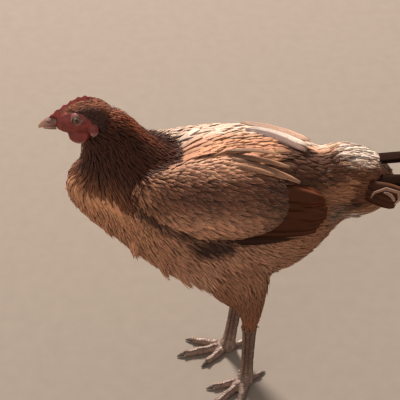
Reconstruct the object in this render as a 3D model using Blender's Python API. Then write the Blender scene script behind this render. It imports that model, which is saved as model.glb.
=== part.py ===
"""A brown pullet standing at rest, as a life-size museum model parted where a person would name its parts.

Metres, +Z up. The bird faces -Y and its left side is +X. It is modelled about its own middle plane, with
the floor at z = 0, and moved at the end so that the origin is the middle of its box on the floor.
Run it with: blender --background --python part.py
"""

import math

import bmesh
import bpy
import numpy as np
from mathutils import Euler, Matrix, Vector

# Driving dimensions, in metres unless the name says degrees.
GAP = 0.0003  # the thin cut between neighbouring pieces
TRUNK_GAP = 0.0006  # the cut round the trunk, whose flat faces differ a little from side to side
BODY_WIDTH = 0.132
BODY_DEPTH = 0.162
BODY_SQUARENESS = 2.3  # a superellipse's power: 2 is a plain ellipse
KEEL_PINCH = 0.10  # how much narrower the section is at the keel, as a share
SKULL_PLACE = (0.0, -0.1100, 0.3275)
SKULL_TURN_DEGREES = 1.5
EYE_RADIUS = 0.0062
EYE_PLACE = (0.0098, -0.0090, 0.0035)  # in the skull's own frame, left side
SHANK_RADIUS = 0.0054
HOCK_HEIGHT = 0.083
FEATHER_THICKNESS = 0.0022  # a hand of folded flight feathers
FEATHER_STEP = 0.0006  # how far the middle of each feather stands out
TIP_NOTCH = 0.06  # how much shorter a feather is at its edges, as a share of its length
FAN_STATIONS = 5  # rows of faces along a hand of flight feathers
COLUMNS_PER_FEATHER = 2
TOE_SINK = 0.0007  # how far the toe pads are pressed flat on the floor
TOE_TAPER = 0.28  # how much of its radius a toe loses towards its end
PAD_SWELL = 0.10
SHARP_DEGREES = 40
FEET = {  # where the ball of each foot stands, how far behind it its hock is, its turn to the bird's left
    "left": {"x": 0.0305, "y": 0.0460, "hock_back": 0.0030, "turn_degrees": 42},
    "right": {"x": -0.0275, "y": 0.0340, "hock_back": 0.0110, "turn_degrees": 9},
}
SIDES = {"left": 1, "right": -1}
COLOURS = {  # base colour, roughness
    "feather_tan": ((0.30, 0.130, 0.062), 0.75),
    "feather_mahogany": ((0.085, 0.028, 0.014), 0.6),
    "feather_wing": ((0.25, 0.100, 0.048), 0.65),
    "feather_black": ((0.022, 0.018, 0.016), 0.5),
    "red_skin": ((0.36, 0.045, 0.038), 0.5),
    "beak_horn": ((0.46, 0.28, 0.20), 0.4),
    "claw_horn": ((0.16, 0.105, 0.080), 0.4),
    "leg_scale": ((0.105, 0.066, 0.052), 0.55),
    "eye": ((0.24, 0.11, 0.035), 0.1),
}


def clear_scene():
    for obj in list(bpy.data.objects):
        bpy.data.objects.remove(obj)


def material(name):
    """The finish of that name, made the first time it is asked for."""
    found = bpy.data.materials.get(name)
    if found is None:
        colour, roughness = COLOURS[name]
        found = bpy.data.materials.new(name)
        found.use_nodes = True
        shader = found.node_tree.nodes["Principled BSDF"]
        shader.inputs["Base Color"].default_value = (*colour, 1.0)
        shader.inputs["Roughness"].default_value = roughness
        shader.inputs["Metallic"].default_value = 0.0
    return found


def finished(name, finish, mesh, parent=None):
    """Turns a bmesh into a named object of the scene."""
    data = bpy.data.meshes.new(name)
    mesh.to_mesh(data)
    mesh.free()
    data.materials.append(material(finish))
    data.shade_smooth()
    data.set_sharp_from_angle(angle=math.radians(SHARP_DEGREES))
    obj = bpy.data.objects.new(name, data)
    bpy.context.scene.collection.objects.link(obj)
    obj.parent = parent
    return obj


def form(name, finish, sides, rings, place, parent=None):
    """A closed tube. The point at cosine c and sine s, a share t along it, stands at place(c, s, t)."""
    mesh = bmesh.new()
    bmesh.ops.create_circle(mesh, segments=sides, radius=1.0, cap_ends=True)
    edges = mesh.edges[:]
    for _ in range(rings - 1):
        made = bmesh.ops.extrude_edge_only(mesh, edges=edges)["geom"]
        raised = [v for v in made if isinstance(v, bmesh.types.BMVert)]
        bmesh.ops.translate(mesh, vec=(0, 0, 1), verts=raised)
        edges = [e for e in made if isinstance(e, bmesh.types.BMEdge)]
    bmesh.ops.contextual_create(mesh, geom=edges)
    for vert in mesh.verts:
        cosine, sine, ring = vert.co
        vert.co = place(cosine, sine, ring / (rings - 1))
    mesh.normal_update()
    bmesh.ops.recalc_face_normals(mesh, faces=mesh.faces[:])
    if mesh.calc_volume(signed=True) < 0:
        bmesh.ops.reverse_faces(mesh, faces=mesh.faces[:])
    return finished(name, finish, mesh, parent)


def smooth_rows(rows, at):
    """The rows read at a share (0 to 1) of the way along a smooth curve that passes through all of them."""
    rows = np.array(rows, float)
    padded = np.vstack([2 * rows[0] - rows[1], rows, 2 * rows[-1] - rows[-2]])
    step = at * (len(rows) - 1)
    i = min(int(step), len(rows) - 2)
    t = step - i
    a, b, c, d = padded[i : i + 4]
    return 0.5 * (2 * b + (c - a) * t + (2 * a - 5 * b + 4 * c - d) * t**2 + (3 * b - a - 3 * c + d) * t**3)


def power(value, exponent):
    return math.copysign(abs(value) ** exponent, value)


def limb(name, finish, rows, up, sides, rings, parent=None, grow=0.0):
    """A tube along a path. A row is x, y, z, half width, half height; up says which way its height points."""
    up = Vector(up)

    def place(cosine, sine, t):
        x, y, z, half_width, half_height = smooth_rows(rows, t)
        ahead = Vector(smooth_rows(rows, min(t + 0.02, 1.0))[:3])
        behind = Vector(smooth_rows(rows, max(t - 0.02, 0.0))[:3])
        along = (ahead - behind).normalized()
        across = along.cross(up).normalized()
        over = across.cross(along)
        return (
            Vector((x, y, z))
            + across * cosine * (max(half_width, 0.0002) + grow)
            + over * sine * (max(half_height, 0.0002) + grow)
            + along * grow * (2 * t - 1)
        )

    return form(name, finish, sides, rings, place, parent)


def fan(name, finish, rows, feathers, bow):
    """A hand of overlapping feathers as one thin solid, whose middle stands out by bow.

    A row is one feather's root, tip and the way its face looks, each x, y, z.
    """
    columns = COLUMNS_PER_FEATHER * feathers
    mesh = bmesh.new()
    bmesh.ops.create_grid(mesh, x_segments=columns, y_segments=FAN_STATIONS, size=1.0)
    for vert in mesh.verts:
        across, t = (vert.co.x + 1) / 2, (vert.co.y + 1) / 2
        row = smooth_rows(rows, across)
        root, tip, face = Vector(row[:3]), Vector(row[3:6]), Vector(row[6:]).normalized()
        crown = min(round(across * columns) % COLUMNS_PER_FEATHER, 1)
        point = root.lerp(tip, t * (1 - TIP_NOTCH * (1 - crown) * t**3))
        vert.co = point + face * (bow * math.sin(math.pi * min(t, 0.96)) + FEATHER_STEP * crown)
    sheet = finished(name, finish, mesh)
    solid = sheet.modifiers.new("thickness", "SOLIDIFY")
    solid.thickness = FEATHER_THICKNESS
    solid.offset = 0.0
    return sheet


def ball(name, finish, place, radius, parent):
    mesh = bmesh.new()
    bmesh.ops.create_uvsphere(mesh, u_segments=12, v_segments=8, radius=radius)
    bmesh.ops.translate(mesh, vec=place, verts=mesh.verts[:])
    return finished(name, finish, mesh, parent)


def frame(name, place, turn_degrees):
    """An empty that carries the pieces modelled in its own frame, turned about the vertical."""
    empty = bpy.data.objects.new(name, None)
    empty.location = place
    empty.rotation_euler = Euler((0, 0, math.radians(turn_degrees)))
    bpy.context.scene.collection.objects.link(empty)
    return empty


def hide(obj):
    """Marks a cutter: it shapes its neighbours and isn't a piece."""
    obj.hide_render = True
    obj.display_type = "WIRE"
    return obj


def cut(obj, *cutters):
    for cutter in cutters:
        modifier = obj.modifiers.new(cutter.name, "BOOLEAN")
        modifier.operation = "DIFFERENCE"
        modifier.solver = "EXACT"
        modifier.object = cutter
    return obj


def mirrored(rows, side):
    """The left side's rows, or the right side's."""
    return [(side * row[0], *row[1:]) for row in rows]


# Trunk: the breast, back and belly, out to the tips of their feathers. The section is flattened over the
# back and drawn in towards the keel.
TRUNK_ROWS = [  # y, height of the middle, half width and half depth as shares of the body's
    (-0.1320, 0.2480, 0.05, 0.05),
    (-0.1285, 0.2490, 0.26, 0.18),
    (-0.1200, 0.2475, 0.44, 0.28),
    (-0.1080, 0.2420, 0.59, 0.36),
    (-0.0900, 0.2350, 0.73, 0.44),
    (-0.0700, 0.2235, 0.82, 0.57),
    (-0.0500, 0.2160, 0.91, 0.70),
    (-0.0300, 0.2105, 0.97, 0.845),
    (-0.0100, 0.2090, 1.00, 0.945),
    (0.0150, 0.2100, 1.00, 0.985),
    (0.0400, 0.2110, 0.97, 0.985),
    (0.0620, 0.2115, 0.92, 0.955),
    (0.0820, 0.2130, 0.84, 0.910),
    (0.1000, 0.2140, 0.76, 0.810),
    (0.1160, 0.2165, 0.65, 0.668),
    (0.1320, 0.2235, 0.52, 0.525),
    (0.1460, 0.2275, 0.38, 0.410),
    (0.1560, 0.2305, 0.24, 0.300),
    (0.1600, 0.2305, 0.05, 0.06),
]


def trunk(name, grow=0.0):
    def place(cosine, sine, t):
        y, middle, width, depth = smooth_rows(TRUNK_ROWS, t)
        half_width = max(width, 0.02) * BODY_WIDTH / 2 + grow
        half_depth = max(depth, 0.02) * BODY_DEPTH / 2 + grow
        shape = 2 / BODY_SQUARENESS
        x = power(cosine, shape) * half_width * (1 + KEEL_PINCH * sine)
        return Vector((x, y + grow * (2 * t - 1), middle + power(sine, shape) * half_depth))

    return form(name, "feather_tan", 22, 23, place)


# Neck: the cape of hackle feathers, from the throat and nape down over the shoulders. Its rings lie level.
NECK_ROWS = [  # y, z, half width, half length
    (-0.0560, 0.2380, 0.0500, 0.0650),
    (-0.0600, 0.2560, 0.0460, 0.0630),
    (-0.0650, 0.2710, 0.0390, 0.0540),
    (-0.0730, 0.2850, 0.0315, 0.0425),
    (-0.0800, 0.2970, 0.0255, 0.0350),
    (-0.0820, 0.3075, 0.0210, 0.0270),
    (-0.0820, 0.3165, 0.0175, 0.0198),
    (-0.0850, 0.3250, 0.0140, 0.0145),
    (-0.0900, 0.3320, 0.0090, 0.0080),
]


def neck(name, grow=0.0):
    def place(cosine, sine, t):
        y, z, half_width, half_length = smooth_rows(NECK_ROWS, t)
        across, along = cosine * (half_width + grow), sine * (half_length + grow)
        return Vector((across, y + along, z + grow * (2 * t - 1)))

    return form(name, "feather_mahogany", 18, 11, place)


# Head: the skull with its short feathers and bare face, in the skull's own frame.
SKULL_ROWS = [  # x, y, z, half width, half height
    (0.0, 0.0262, -0.0060, 0.0035, 0.0035),
    (0.0, 0.0215, -0.0042, 0.0115, 0.0108),
    (0.0, 0.0110, -0.0013, 0.0158, 0.0167),
    (0.0, 0.0000, 0.0000, 0.0166, 0.0186),
    (0.0, -0.0100, -0.0020, 0.0150, 0.0166),
    (0.0, -0.0185, -0.0050, 0.0114, 0.0132),
    (0.0, -0.0255, -0.0070, 0.0080, 0.0094),
    (0.0, -0.0300, -0.0075, 0.0030, 0.0040),
]
UPPER_BEAK_ROWS = [
    (0.0, -0.0180, -0.0045, 0.0074, 0.0068),
    (0.0, -0.0265, -0.0042, 0.0064, 0.0056),
    (0.0, -0.0345, -0.0045, 0.0047, 0.0043),
    (0.0, -0.0410, -0.0066, 0.0028, 0.0029),
    (0.0, -0.0448, -0.0100, 0.0008, 0.0010),
]
LOWER_BEAK_ROWS = [
    (0.0, -0.0180, -0.0110, 0.0060, 0.0032),
    (0.0, -0.0270, -0.0106, 0.0050, 0.0028),
    (0.0, -0.0350, -0.0104, 0.0034, 0.0021),
    (0.0, -0.0405, -0.0108, 0.0012, 0.0011),
]
COMB_ROWS = [  # y, height of its root, height of its edge, half thickness
    (-0.0352, -0.0030, 0.0004, 0.0006),
    (-0.0310, -0.0030, 0.0048, 0.0014),
    (-0.0240, -0.0020, 0.0098, 0.0018),
    (-0.0170, 0.0020, 0.0148, 0.0018),
    (-0.0100, 0.0070, 0.0192, 0.0018),
    (-0.0030, 0.0110, 0.0214, 0.0016),
    (0.0040, 0.0130, 0.0208, 0.0013),
    (0.0090, 0.0130, 0.0172, 0.0006),
]
COMB_POINTS = 7
COMB_SERRATION = 0.0022
WATTLE_ROWS = [  # left side, from the jaw to its round lower edge: x, y, z, half length, half thickness
    (0.0070, -0.0075, -0.0110, 0.0100, 0.0034),
    (0.0086, -0.0068, -0.0158, 0.0112, 0.0030),
    (0.0100, -0.0058, -0.0200, 0.0092, 0.0025),
    (0.0108, -0.0050, -0.0230, 0.0058, 0.0019),
    (0.0111, -0.0046, -0.0244, 0.0014, 0.0008),
]
LOBE_ROWS = [
    (0.0148, 0.0072, -0.0030, 0.0022, 0.0016),
    (0.0156, 0.0076, -0.0065, 0.0044, 0.0024),
    (0.0156, 0.0070, -0.0105, 0.0048, 0.0025),
    (0.0146, 0.0058, -0.0140, 0.0030, 0.0018),
    (0.0140, 0.0052, -0.0152, 0.0008, 0.0006),
]


def comb_form(name, parent):
    """A low single comb: a thin plate from the root of the beak over the brow, its edge cut into points."""

    def place(cosine, sine, t):
        y, low, high, half_thick = smooth_rows(COMB_ROWS, t)
        tooth = abs(math.sin(math.pi * COMB_POINTS * t)) - 0.5
        points = COMB_SERRATION * tooth * math.sin(math.pi * t) ** 0.5
        middle, half = (high + low) / 2, (high - low) / 2
        thin = half_thick * (1 - 0.4 * max(sine, 0))
        return Vector((cosine * thin, y, middle + sine * half + max(sine, 0) * points))

    return form(name, "red_skin", 6, COMB_POINTS * 2 + 1, place, parent)


def make_head(neck_cutter):
    skull = frame("skull_frame", SKULL_PLACE, SKULL_TURN_DEGREES)
    up = (0, 0, 1)
    head = limb("head", "feather_mahogany", SKULL_ROWS, up, 18, 13, skull)
    head_cutter = hide(limb("head_cutter", "feather_mahogany", SKULL_ROWS, up, 18, 13, skull, GAP))
    upper = limb("beak_upper", "beak_horn", UPPER_BEAK_ROWS, up, 10, 8, skull)
    upper_cutter = hide(limb("beak_cutter", "beak_horn", UPPER_BEAK_ROWS, up, 10, 8, skull, GAP))
    lower = limb("beak_lower", "beak_horn", LOWER_BEAK_ROWS, up, 8, 6, skull)
    cut(head, neck_cutter)
    cut(upper, head_cutter)
    cut(lower, head_cutter, upper_cutter)
    cut(comb_form("comb", skull), head_cutter, upper_cutter)
    for side, sign in SIDES.items():
        centre = (sign * EYE_PLACE[0], EYE_PLACE[1], EYE_PLACE[2])
        ball(f"eye_{side}", "eye", centre, EYE_RADIUS, skull)
        cut(head, hide(ball(f"socket_cutter_{side}", "eye", centre, EYE_RADIUS + GAP, skull)))
        rows = mirrored(WATTLE_ROWS, sign)
        wattle = limb(f"wattle_{side}", "red_skin", rows, (1, 0, 0), 8, 7, skull)
        wattle_cutter = hide(limb(f"wattle_cutter_{side}", "red_skin", rows, (1, 0, 0), 8, 7, skull, GAP))
        cut(wattle, head_cutter, neck_cutter)
        lobe = limb(f"earlobe_{side}", "red_skin", mirrored(LOBE_ROWS, sign), (1, 0, 0), 8, 6, skull)
        cut(lobe, head_cutter, neck_cutter, wattle_cutter)


# Legs. The feathered drumstick tapers to the hock; the bare shank and the toes below it are scaled.
DRUMSTICK_ROWS = [  # left side: x outward from the foot, y behind the hock, z, half width, half length
    (0.0080, -0.0250, 0.1860, 0.0270, 0.0380),
    (0.0075, -0.0185, 0.1580, 0.0275, 0.0375),
    (0.0050, -0.0090, 0.1330, 0.0230, 0.0275),
    (0.0020, -0.0020, 0.1120, 0.0165, 0.0185),
    (0.0000, 0.0005, 0.0960, 0.0120, 0.0140),
    (0.0000, 0.0010, 0.0840, 0.0098, 0.0118),
    (0.0000, 0.0010, 0.0790, 0.0062, 0.0074),
]
SHANK_ROWS = [  # shares of the way back and up to the hock; half width and half length, in shank radii
    (1.00, 1.190, 1.10, 1.30),
    (1.00, 1.000, 1.28, 1.60),
    (0.86, 0.860, 1.04, 1.34),
    (0.50, 0.500, 0.92, 1.20),
    (0.16, 0.220, 1.05, 1.25),
    (0.00, 0.100, 1.45, 1.55),
    (0.00, -0.012, 1.36, 1.42),
]
TOES = {  # heading in degrees outward from the foot's axis, length of the fleshy part, radius, joints
    "inner": (-33, 0.033, 0.0048, 2),
    "middle": (0, 0.047, 0.0053, 3),
    "outer": (31, 0.038, 0.0047, 3),
    "hind": (170, 0.017, 0.0041, 1),
}
CLAW_ROWS = [  # how far past the toe's end; height and half width as shares of the toe's radius
    (-0.0040, 0.66, 0.52),
    (0.0010, 0.68, 0.48),
    (0.0060, 0.52, 0.36),
    (0.0105, 0.24, 0.14),
]


def drumstick(name, side, grow=0.0):
    foot, sign = FEET[side], SIDES[side]
    hock_y = foot["y"] + foot["hock_back"]
    rows = [
        (foot["x"] + sign * out, hock_y + back, z, wide, deep)
        for out, back, z, wide, deep in DRUMSTICK_ROWS
    ]
    return limb(name, "feather_tan", rows, (0, 1, 0), 13, 8, grow=grow)


def shank(name, side, grow=0.0):
    """The bare leg from inside the drumstick's cuff to the ball of the foot."""
    x, y, hock_back = FEET[side]["x"], FEET[side]["y"], FEET[side]["hock_back"]
    rows = [
        (x, y + back * hock_back, up * HOCK_HEIGHT, wide * SHANK_RADIUS, deep * SHANK_RADIUS)
        for back, up, wide, deep in SHANK_ROWS
    ]
    return limb(name, "leg_scale", rows, (0, 1, 0), 10, 11, grow=grow)


def toe_rows(heading, length, radius, joints, sign):
    """A toe from the middle of the foot outwards, swollen at each pad, falling towards the claw."""
    angle = math.radians(heading)
    ahead = Vector((sign * math.sin(angle), -math.cos(angle), 0))
    count = 2 * joints + 3
    rows = []
    for i in range(count):
        t = i / (count - 1)
        size = radius * (1 - TOE_TAPER * t) * (1 + PAD_SWELL * math.cos(2 * math.pi * joints * t))
        rows.append((*(ahead * length * t).xy, size - TOE_SINK, size, size))
    tip_size = rows[-1][3] * 0.35
    rows.append((*(ahead * (length + 0.0025)).xy, rows[-1][2] - 0.0004, tip_size, tip_size))
    return rows


def claw_rows(heading, length, radius, sign):
    """A claw growing out of the end of its toe and curving down to the floor."""
    angle = math.radians(heading)
    ahead = Vector((sign * math.sin(angle), -math.cos(angle), 0))
    return [
        (*(ahead * (length + reach)).xy, height * radius, thick * radius, thick * radius * 1.3)
        for reach, height, thick in CLAW_ROWS
    ]


def floor_flat(obj):
    """Cuts off what would lie below the floor, so that the piece stands on a flat."""
    mesh = bmesh.new()
    mesh.from_mesh(obj.data)
    everything = mesh.verts[:] + mesh.edges[:] + mesh.faces[:]
    sliced = bmesh.ops.bisect_plane(
        mesh, geom=everything, dist=1e-6, plane_co=(0, 0, 0), plane_no=(0, 0, -1), clear_outer=True
    )
    edges = [e for e in sliced["geom_cut"] if isinstance(e, bmesh.types.BMEdge)]
    if edges:
        bmesh.ops.contextual_create(mesh, geom=edges)
    mesh.normal_update()
    bmesh.ops.recalc_face_normals(mesh, faces=mesh.faces[:])
    mesh.to_mesh(obj.data)
    mesh.free()
    return obj


def make_leg(side, sign, trunk_cutter):
    cut(drumstick(f"drumstick_{side}", side), trunk_cutter)
    drum_cutter = hide(drumstick(f"drumstick_cutter_{side}", side, GAP))
    cut(floor_flat(shank(f"shank_{side}", side)), drum_cutter)
    laid = [hide(shank(f"shank_cutter_{side}", side, GAP))]
    foot = frame(f"foot_frame_{side}", (FEET[side]["x"], FEET[side]["y"], 0), FEET[side]["turn_degrees"])
    for toe, (heading, length, radius, joints) in TOES.items():
        rows = toe_rows(heading, length, radius, joints, sign)
        rings = 2 * joints + 5
        piece = limb(f"toe_{toe}_{side}", "leg_scale", rows, (0, 0, 1), 8, rings, foot)
        cut(floor_flat(piece), *laid)
        cutter = hide(limb(f"toe_cutter_{toe}_{side}", "leg_scale", rows, (0, 0, 1), 8, rings, foot, GAP))
        laid.append(cutter)
        rows = claw_rows(heading, length, radius, sign)
        claw = limb(f"claw_{toe}_{side}", "claw_horn", rows, (0, 0, 1), 6, 4, foot)
        cut(floor_flat(claw), cutter)


# Wings, folded on the flanks. The covert piece is the feathered arm and shoulder; the flight feathers come
# out from under it.
WING_ROWS = [  # left side: x, y, z, half thickness, half height up the flank
    (0.0450, -0.0685, 0.2690, 0.0030, 0.0050),
    (0.0460, -0.0650, 0.2680, 0.0070, 0.0115),
    (0.0455, -0.0520, 0.2650, 0.0105, 0.0195),
    (0.0445, -0.0300, 0.2585, 0.0145, 0.0320),
    (0.0455, 0.0000, 0.2550, 0.0185, 0.0400),
    (0.0465, 0.0300, 0.2530, 0.0200, 0.0410),
    (0.0465, 0.0550, 0.2510, 0.0175, 0.0370),
    (0.0460, 0.0750, 0.2485, 0.0130, 0.0270),
    (0.0455, 0.0870, 0.2460, 0.0060, 0.0110),
]
WING_LEAN = (-0.59, 0.0, 0.81)  # up the flank and in over the back
FLIGHT_FEATHERS, FLIGHT_BOW = 8, 0.009  # the visible ones of each wing
FLIGHT_ROWS = [  # left side, from the short ones next to the back to the lowest: root, tip, face
    (0.0300, 0.0300, 0.2790, 0.0400, 0.0940, 0.2600, 0.55, 0.10, 0.80),
    (0.0430, 0.0280, 0.2680, 0.0470, 0.1155, 0.2480, 0.75, 0.10, 0.62),
    (0.0550, 0.0220, 0.2510, 0.0510, 0.1205, 0.2350, 0.92, 0.12, 0.36),
    (0.0640, 0.0120, 0.2300, 0.0550, 0.1090, 0.2190, 0.99, 0.10, 0.08),
]


def wing_coverts(name, grow=0.0):
    return limb(name, "feather_wing", WING_ROWS, WING_LEAN, 16, 12, grow=grow)


def mirror_copy(obj, name):
    """The same piece for the other side of the body."""
    bpy.context.view_layer.update()
    graph = bpy.context.evaluated_depsgraph_get()
    data = bpy.data.meshes.new_from_object(obj.evaluated_get(graph))
    data.transform(Matrix.Scale(-1, 4, (1, 0, 0)))
    data.flip_normals()
    copy = bpy.data.objects.new(name, data)
    bpy.context.scene.collection.objects.link(copy)


def make_wings(cutters):
    coverts = cut(wing_coverts("wing_coverts_left"), *cutters)
    coverts_cutter = hide(wing_coverts("wing_coverts_cutter", GAP))
    flights = fan("wing_flights_left", "feather_wing", FLIGHT_ROWS, FLIGHT_FEATHERS, FLIGHT_BOW)
    cut(flights, coverts_cutter, *cutters)
    for piece in (coverts, flights):
        mirror_copy(piece, piece.name.replace("left", "right"))


# Tail: the cushion of covert feathers and fluff, and the main tail feathers, folded to a low roof.
TAIL_COVERT_ROWS = [  # x, y, z, half width, half height
    (0.0, 0.1050, 0.2400, 0.0220, 0.0220),
    (0.0, 0.1180, 0.2385, 0.0300, 0.0330),
    (0.0, 0.1360, 0.2356, 0.0340, 0.0405),
    (0.0, 0.1560, 0.2325, 0.0320, 0.0390),
    (0.0, 0.1740, 0.2310, 0.0260, 0.0345),
    (0.0, 0.1880, 0.2320, 0.0165, 0.0240),
    (0.0, 0.1960, 0.2335, 0.0050, 0.0080),
]
TAIL_FEATHERS, TAIL_BOW = 6, 0.003  # in each side of the tail
TAIL_FEATHER_ROWS = [  # left side, from the middle pair to the outermost: root, tip, face
    (0.0004, 0.1250, 0.2570, 0.0004, 0.2340, 0.2605, 0.10, 0.00, 1.00),
    (0.0110, 0.1250, 0.2520, 0.0165, 0.2330, 0.2530, 0.60, 0.00, 0.80),
    (0.0190, 0.1250, 0.2440, 0.0300, 0.2240, 0.2400, 0.85, 0.00, 0.52),
    (0.0230, 0.1250, 0.2320, 0.0370, 0.2090, 0.2260, 0.97, 0.00, 0.22),
]


def tail_coverts(name, grow=0.0):
    return limb(name, "feather_tan", TAIL_COVERT_ROWS, (0, 0, 1), 16, 10, grow=grow)


def make_tail(trunk_cutter):
    cut(tail_coverts("tail_coverts"), trunk_cutter)
    cutter = hide(tail_coverts("tail_coverts_cutter", GAP))
    feathers = fan("tail_feathers_left", "feather_black", TAIL_FEATHER_ROWS, TAIL_FEATHERS, TAIL_BOW)
    mirror_copy(cut(feathers, trunk_cutter, cutter), "tail_feathers_right")
    return cutter


def centre_on_floor():
    """Moves the bird so that the origin is the middle of its box, on the floor."""
    bpy.context.view_layer.update()
    graph = bpy.context.evaluated_depsgraph_get()
    low, high = np.full(3, np.inf), np.full(3, -np.inf)
    for obj in bpy.context.scene.objects:
        if obj.type != "MESH" or obj.hide_render:
            continue
        seen = obj.evaluated_get(graph)
        corners = np.array([seen.matrix_world @ Vector(corner) for corner in seen.bound_box])
        low, high = np.minimum(low, corners.min(axis=0)), np.maximum(high, corners.max(axis=0))
    middle = (low + high) / 2
    for obj in bpy.context.scene.objects:
        if obj.parent is None:
            obj.matrix_world = Matrix.Translation((-middle[0], -middle[1], 0)) @ obj.matrix_world


def main():
    clear_scene()
    trunk("trunk")
    trunk_cutter = hide(trunk("trunk_cutter", TRUNK_GAP))
    cut(neck("neck"), trunk_cutter)
    neck_cutter = hide(neck("neck_cutter", GAP))
    make_head(neck_cutter)
    for side, sign in SIDES.items():
        make_leg(side, sign, trunk_cutter)
    tail_cutter = make_tail(trunk_cutter)
    make_wings([trunk_cutter, neck_cutter, tail_cutter])
    centre_on_floor()


main()
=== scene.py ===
"""A brown pullet standing at rest, finished as a museum's life-size model.

The file builds the bird in the order a modeller would: the skin, the eyes, the beak and the claws, then the
plumage from the head back to the tail, the scales of the legs, and last the floor, the light and the camera.
Metres, +Z up. The bird faces -Y and its left side is +X.
"""

import math

import bmesh
import bpy
import numpy as np
from mathutils import Matrix, Vector
from mathutils.bvhtree import BVHTree
from mathutils.kdtree import KDTree


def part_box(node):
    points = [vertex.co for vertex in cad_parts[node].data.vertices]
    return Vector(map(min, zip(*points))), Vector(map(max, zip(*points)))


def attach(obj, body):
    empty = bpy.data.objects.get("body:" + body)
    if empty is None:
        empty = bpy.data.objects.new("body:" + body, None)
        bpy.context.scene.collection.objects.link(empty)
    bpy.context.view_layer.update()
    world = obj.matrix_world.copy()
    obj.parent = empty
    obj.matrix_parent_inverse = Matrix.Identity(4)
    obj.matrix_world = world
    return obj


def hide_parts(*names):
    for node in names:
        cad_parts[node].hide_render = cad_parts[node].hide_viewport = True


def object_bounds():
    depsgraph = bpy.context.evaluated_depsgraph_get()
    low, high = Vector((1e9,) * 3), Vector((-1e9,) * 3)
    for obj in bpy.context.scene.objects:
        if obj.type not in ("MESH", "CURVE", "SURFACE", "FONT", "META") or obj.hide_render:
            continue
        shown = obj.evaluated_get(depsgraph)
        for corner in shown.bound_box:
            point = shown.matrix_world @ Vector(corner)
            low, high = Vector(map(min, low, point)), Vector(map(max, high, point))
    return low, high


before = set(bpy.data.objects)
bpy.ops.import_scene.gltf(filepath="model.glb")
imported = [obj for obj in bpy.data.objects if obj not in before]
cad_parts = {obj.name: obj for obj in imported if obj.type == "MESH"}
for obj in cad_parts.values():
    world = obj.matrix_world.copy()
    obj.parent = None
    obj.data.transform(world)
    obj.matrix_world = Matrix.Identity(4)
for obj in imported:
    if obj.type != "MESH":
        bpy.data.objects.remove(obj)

solid_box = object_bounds()

# Skin. One closed surface over the whole bird: bare and red on the face, comb and wattles, scaled on the
# shanks and toes, and hidden by feathers elsewhere, where it lies under them by the depth of the coat.
NOT_FLESH = ("beak", "eye", "claw", "tail_feathers", "wing_flights")
FLESH = sorted(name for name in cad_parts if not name.startswith(NOT_FLESH))
COAT_DEPTH = {  # of the feathers, on each piece of the body that has them
    "trunk": 0.0050, "neck": 0.0034, "head": 0.0013, "wing": 0.0040, "tail": 0.0045, "drumstick": 0.0030,
}
SKIN_CELL, LAY_CELL = 0.00066, 0.0035  # the skin, and the smoother copy of it that feathers are laid on
JOIN = 0.0007  # how far each piece swells so that neighbours meet
SKIN_SMOOTHING, LAY_SMOOTHING = 7, 8  # rounds of smoothing
THINNED, MARGIN = 0.175, 0.012  # the share of faces kept, and how far past the head and hocks they stay fine
LID_INSIDE, LID_OUTSIDE, LID_RIM = 0.0063, 0.0073, 0.0007  # the lids' radii, and the radius of their rim
EYE_LONG, EYE_HIGH = 0.0041, 0.0035  # half the opening between the lids
LIDS_BACK = math.radians(98)  # how far round the ball the lids reach
LID_BENDS, RIM_SIDES = 7, 10  # faces from the rim to the back, and round the rim
FULL_TURN = {"cent": (0, 0, 0), "axis": (1, 0, 0), "angle": math.tau, "steps": 32, "use_merge": True}
SIDES = {"left": 1, "right": -1}


def copy_of(nodes):
    """The CAD pieces of those names as one bmesh, with their loose triangles merged."""
    mesh = bmesh.new()
    for node in nodes:
        mesh.from_mesh(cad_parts[node].data)
    bmesh.ops.remove_doubles(mesh, verts=mesh.verts[:], dist=1e-6)
    mesh.normal_update()
    return mesh


def in_scene(name, data):
    """A new object of the scene, made of that mesh, lamp or camera."""
    obj = bpy.data.objects.new(name, data)
    bpy.context.scene.collection.objects.link(obj)
    return obj


def placed(name, mesh):
    """Makes the bmesh an object of the scene."""
    data = bpy.data.meshes.new(name)
    mesh.to_mesh(data)
    mesh.free()
    return in_scene(name, data)


def with_modifiers(obj, *steps):
    """Applies modifiers, each given as its type and its settings, to the object's mesh."""
    for kind, settings in steps:
        modifier = obj.modifiers.new(kind.lower(), kind)
        for key, value in settings.items():
            setattr(modifier, key, value)
    bpy.context.view_layer.update()
    graph = bpy.context.evaluated_depsgraph_get()
    before, data = obj.data, bpy.data.meshes.new_from_object(obj.evaluated_get(graph))
    obj.modifiers.clear()
    obj.data = data
    bpy.data.meshes.remove(before)
    return obj


def remeshed(obj, cell, rounds):
    """Makes the object's mesh one closed surface of cells of that size, and smooths it."""
    return with_modifiers(
        obj,
        ("REMESH", {"mode": "VOXEL", "voxel_size": cell}),
        ("SMOOTH", {"factor": 0.5, "iterations": rounds}),
    )


def middle_of(node):
    """The middle of a CAD piece's box."""
    low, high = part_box(node)
    return (low + high) / 2


def rows_of(mesh, field="co"):
    """A field of the mesh's vertices as rows of x, y, z."""
    rows = np.empty(len(mesh.vertices) * 3)
    mesh.vertices.foreach_get(field, rows)
    return rows.reshape(-1, 3)


def unit(rows):
    """The rows, each made one long."""
    return rows / np.maximum(np.linalg.norm(rows, axis=-1, keepdims=True), 1e-12)


flesh = copy_of(FLESH)
for vert in flesh.verts:
    vert.co += vert.normal * JOIN

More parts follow.
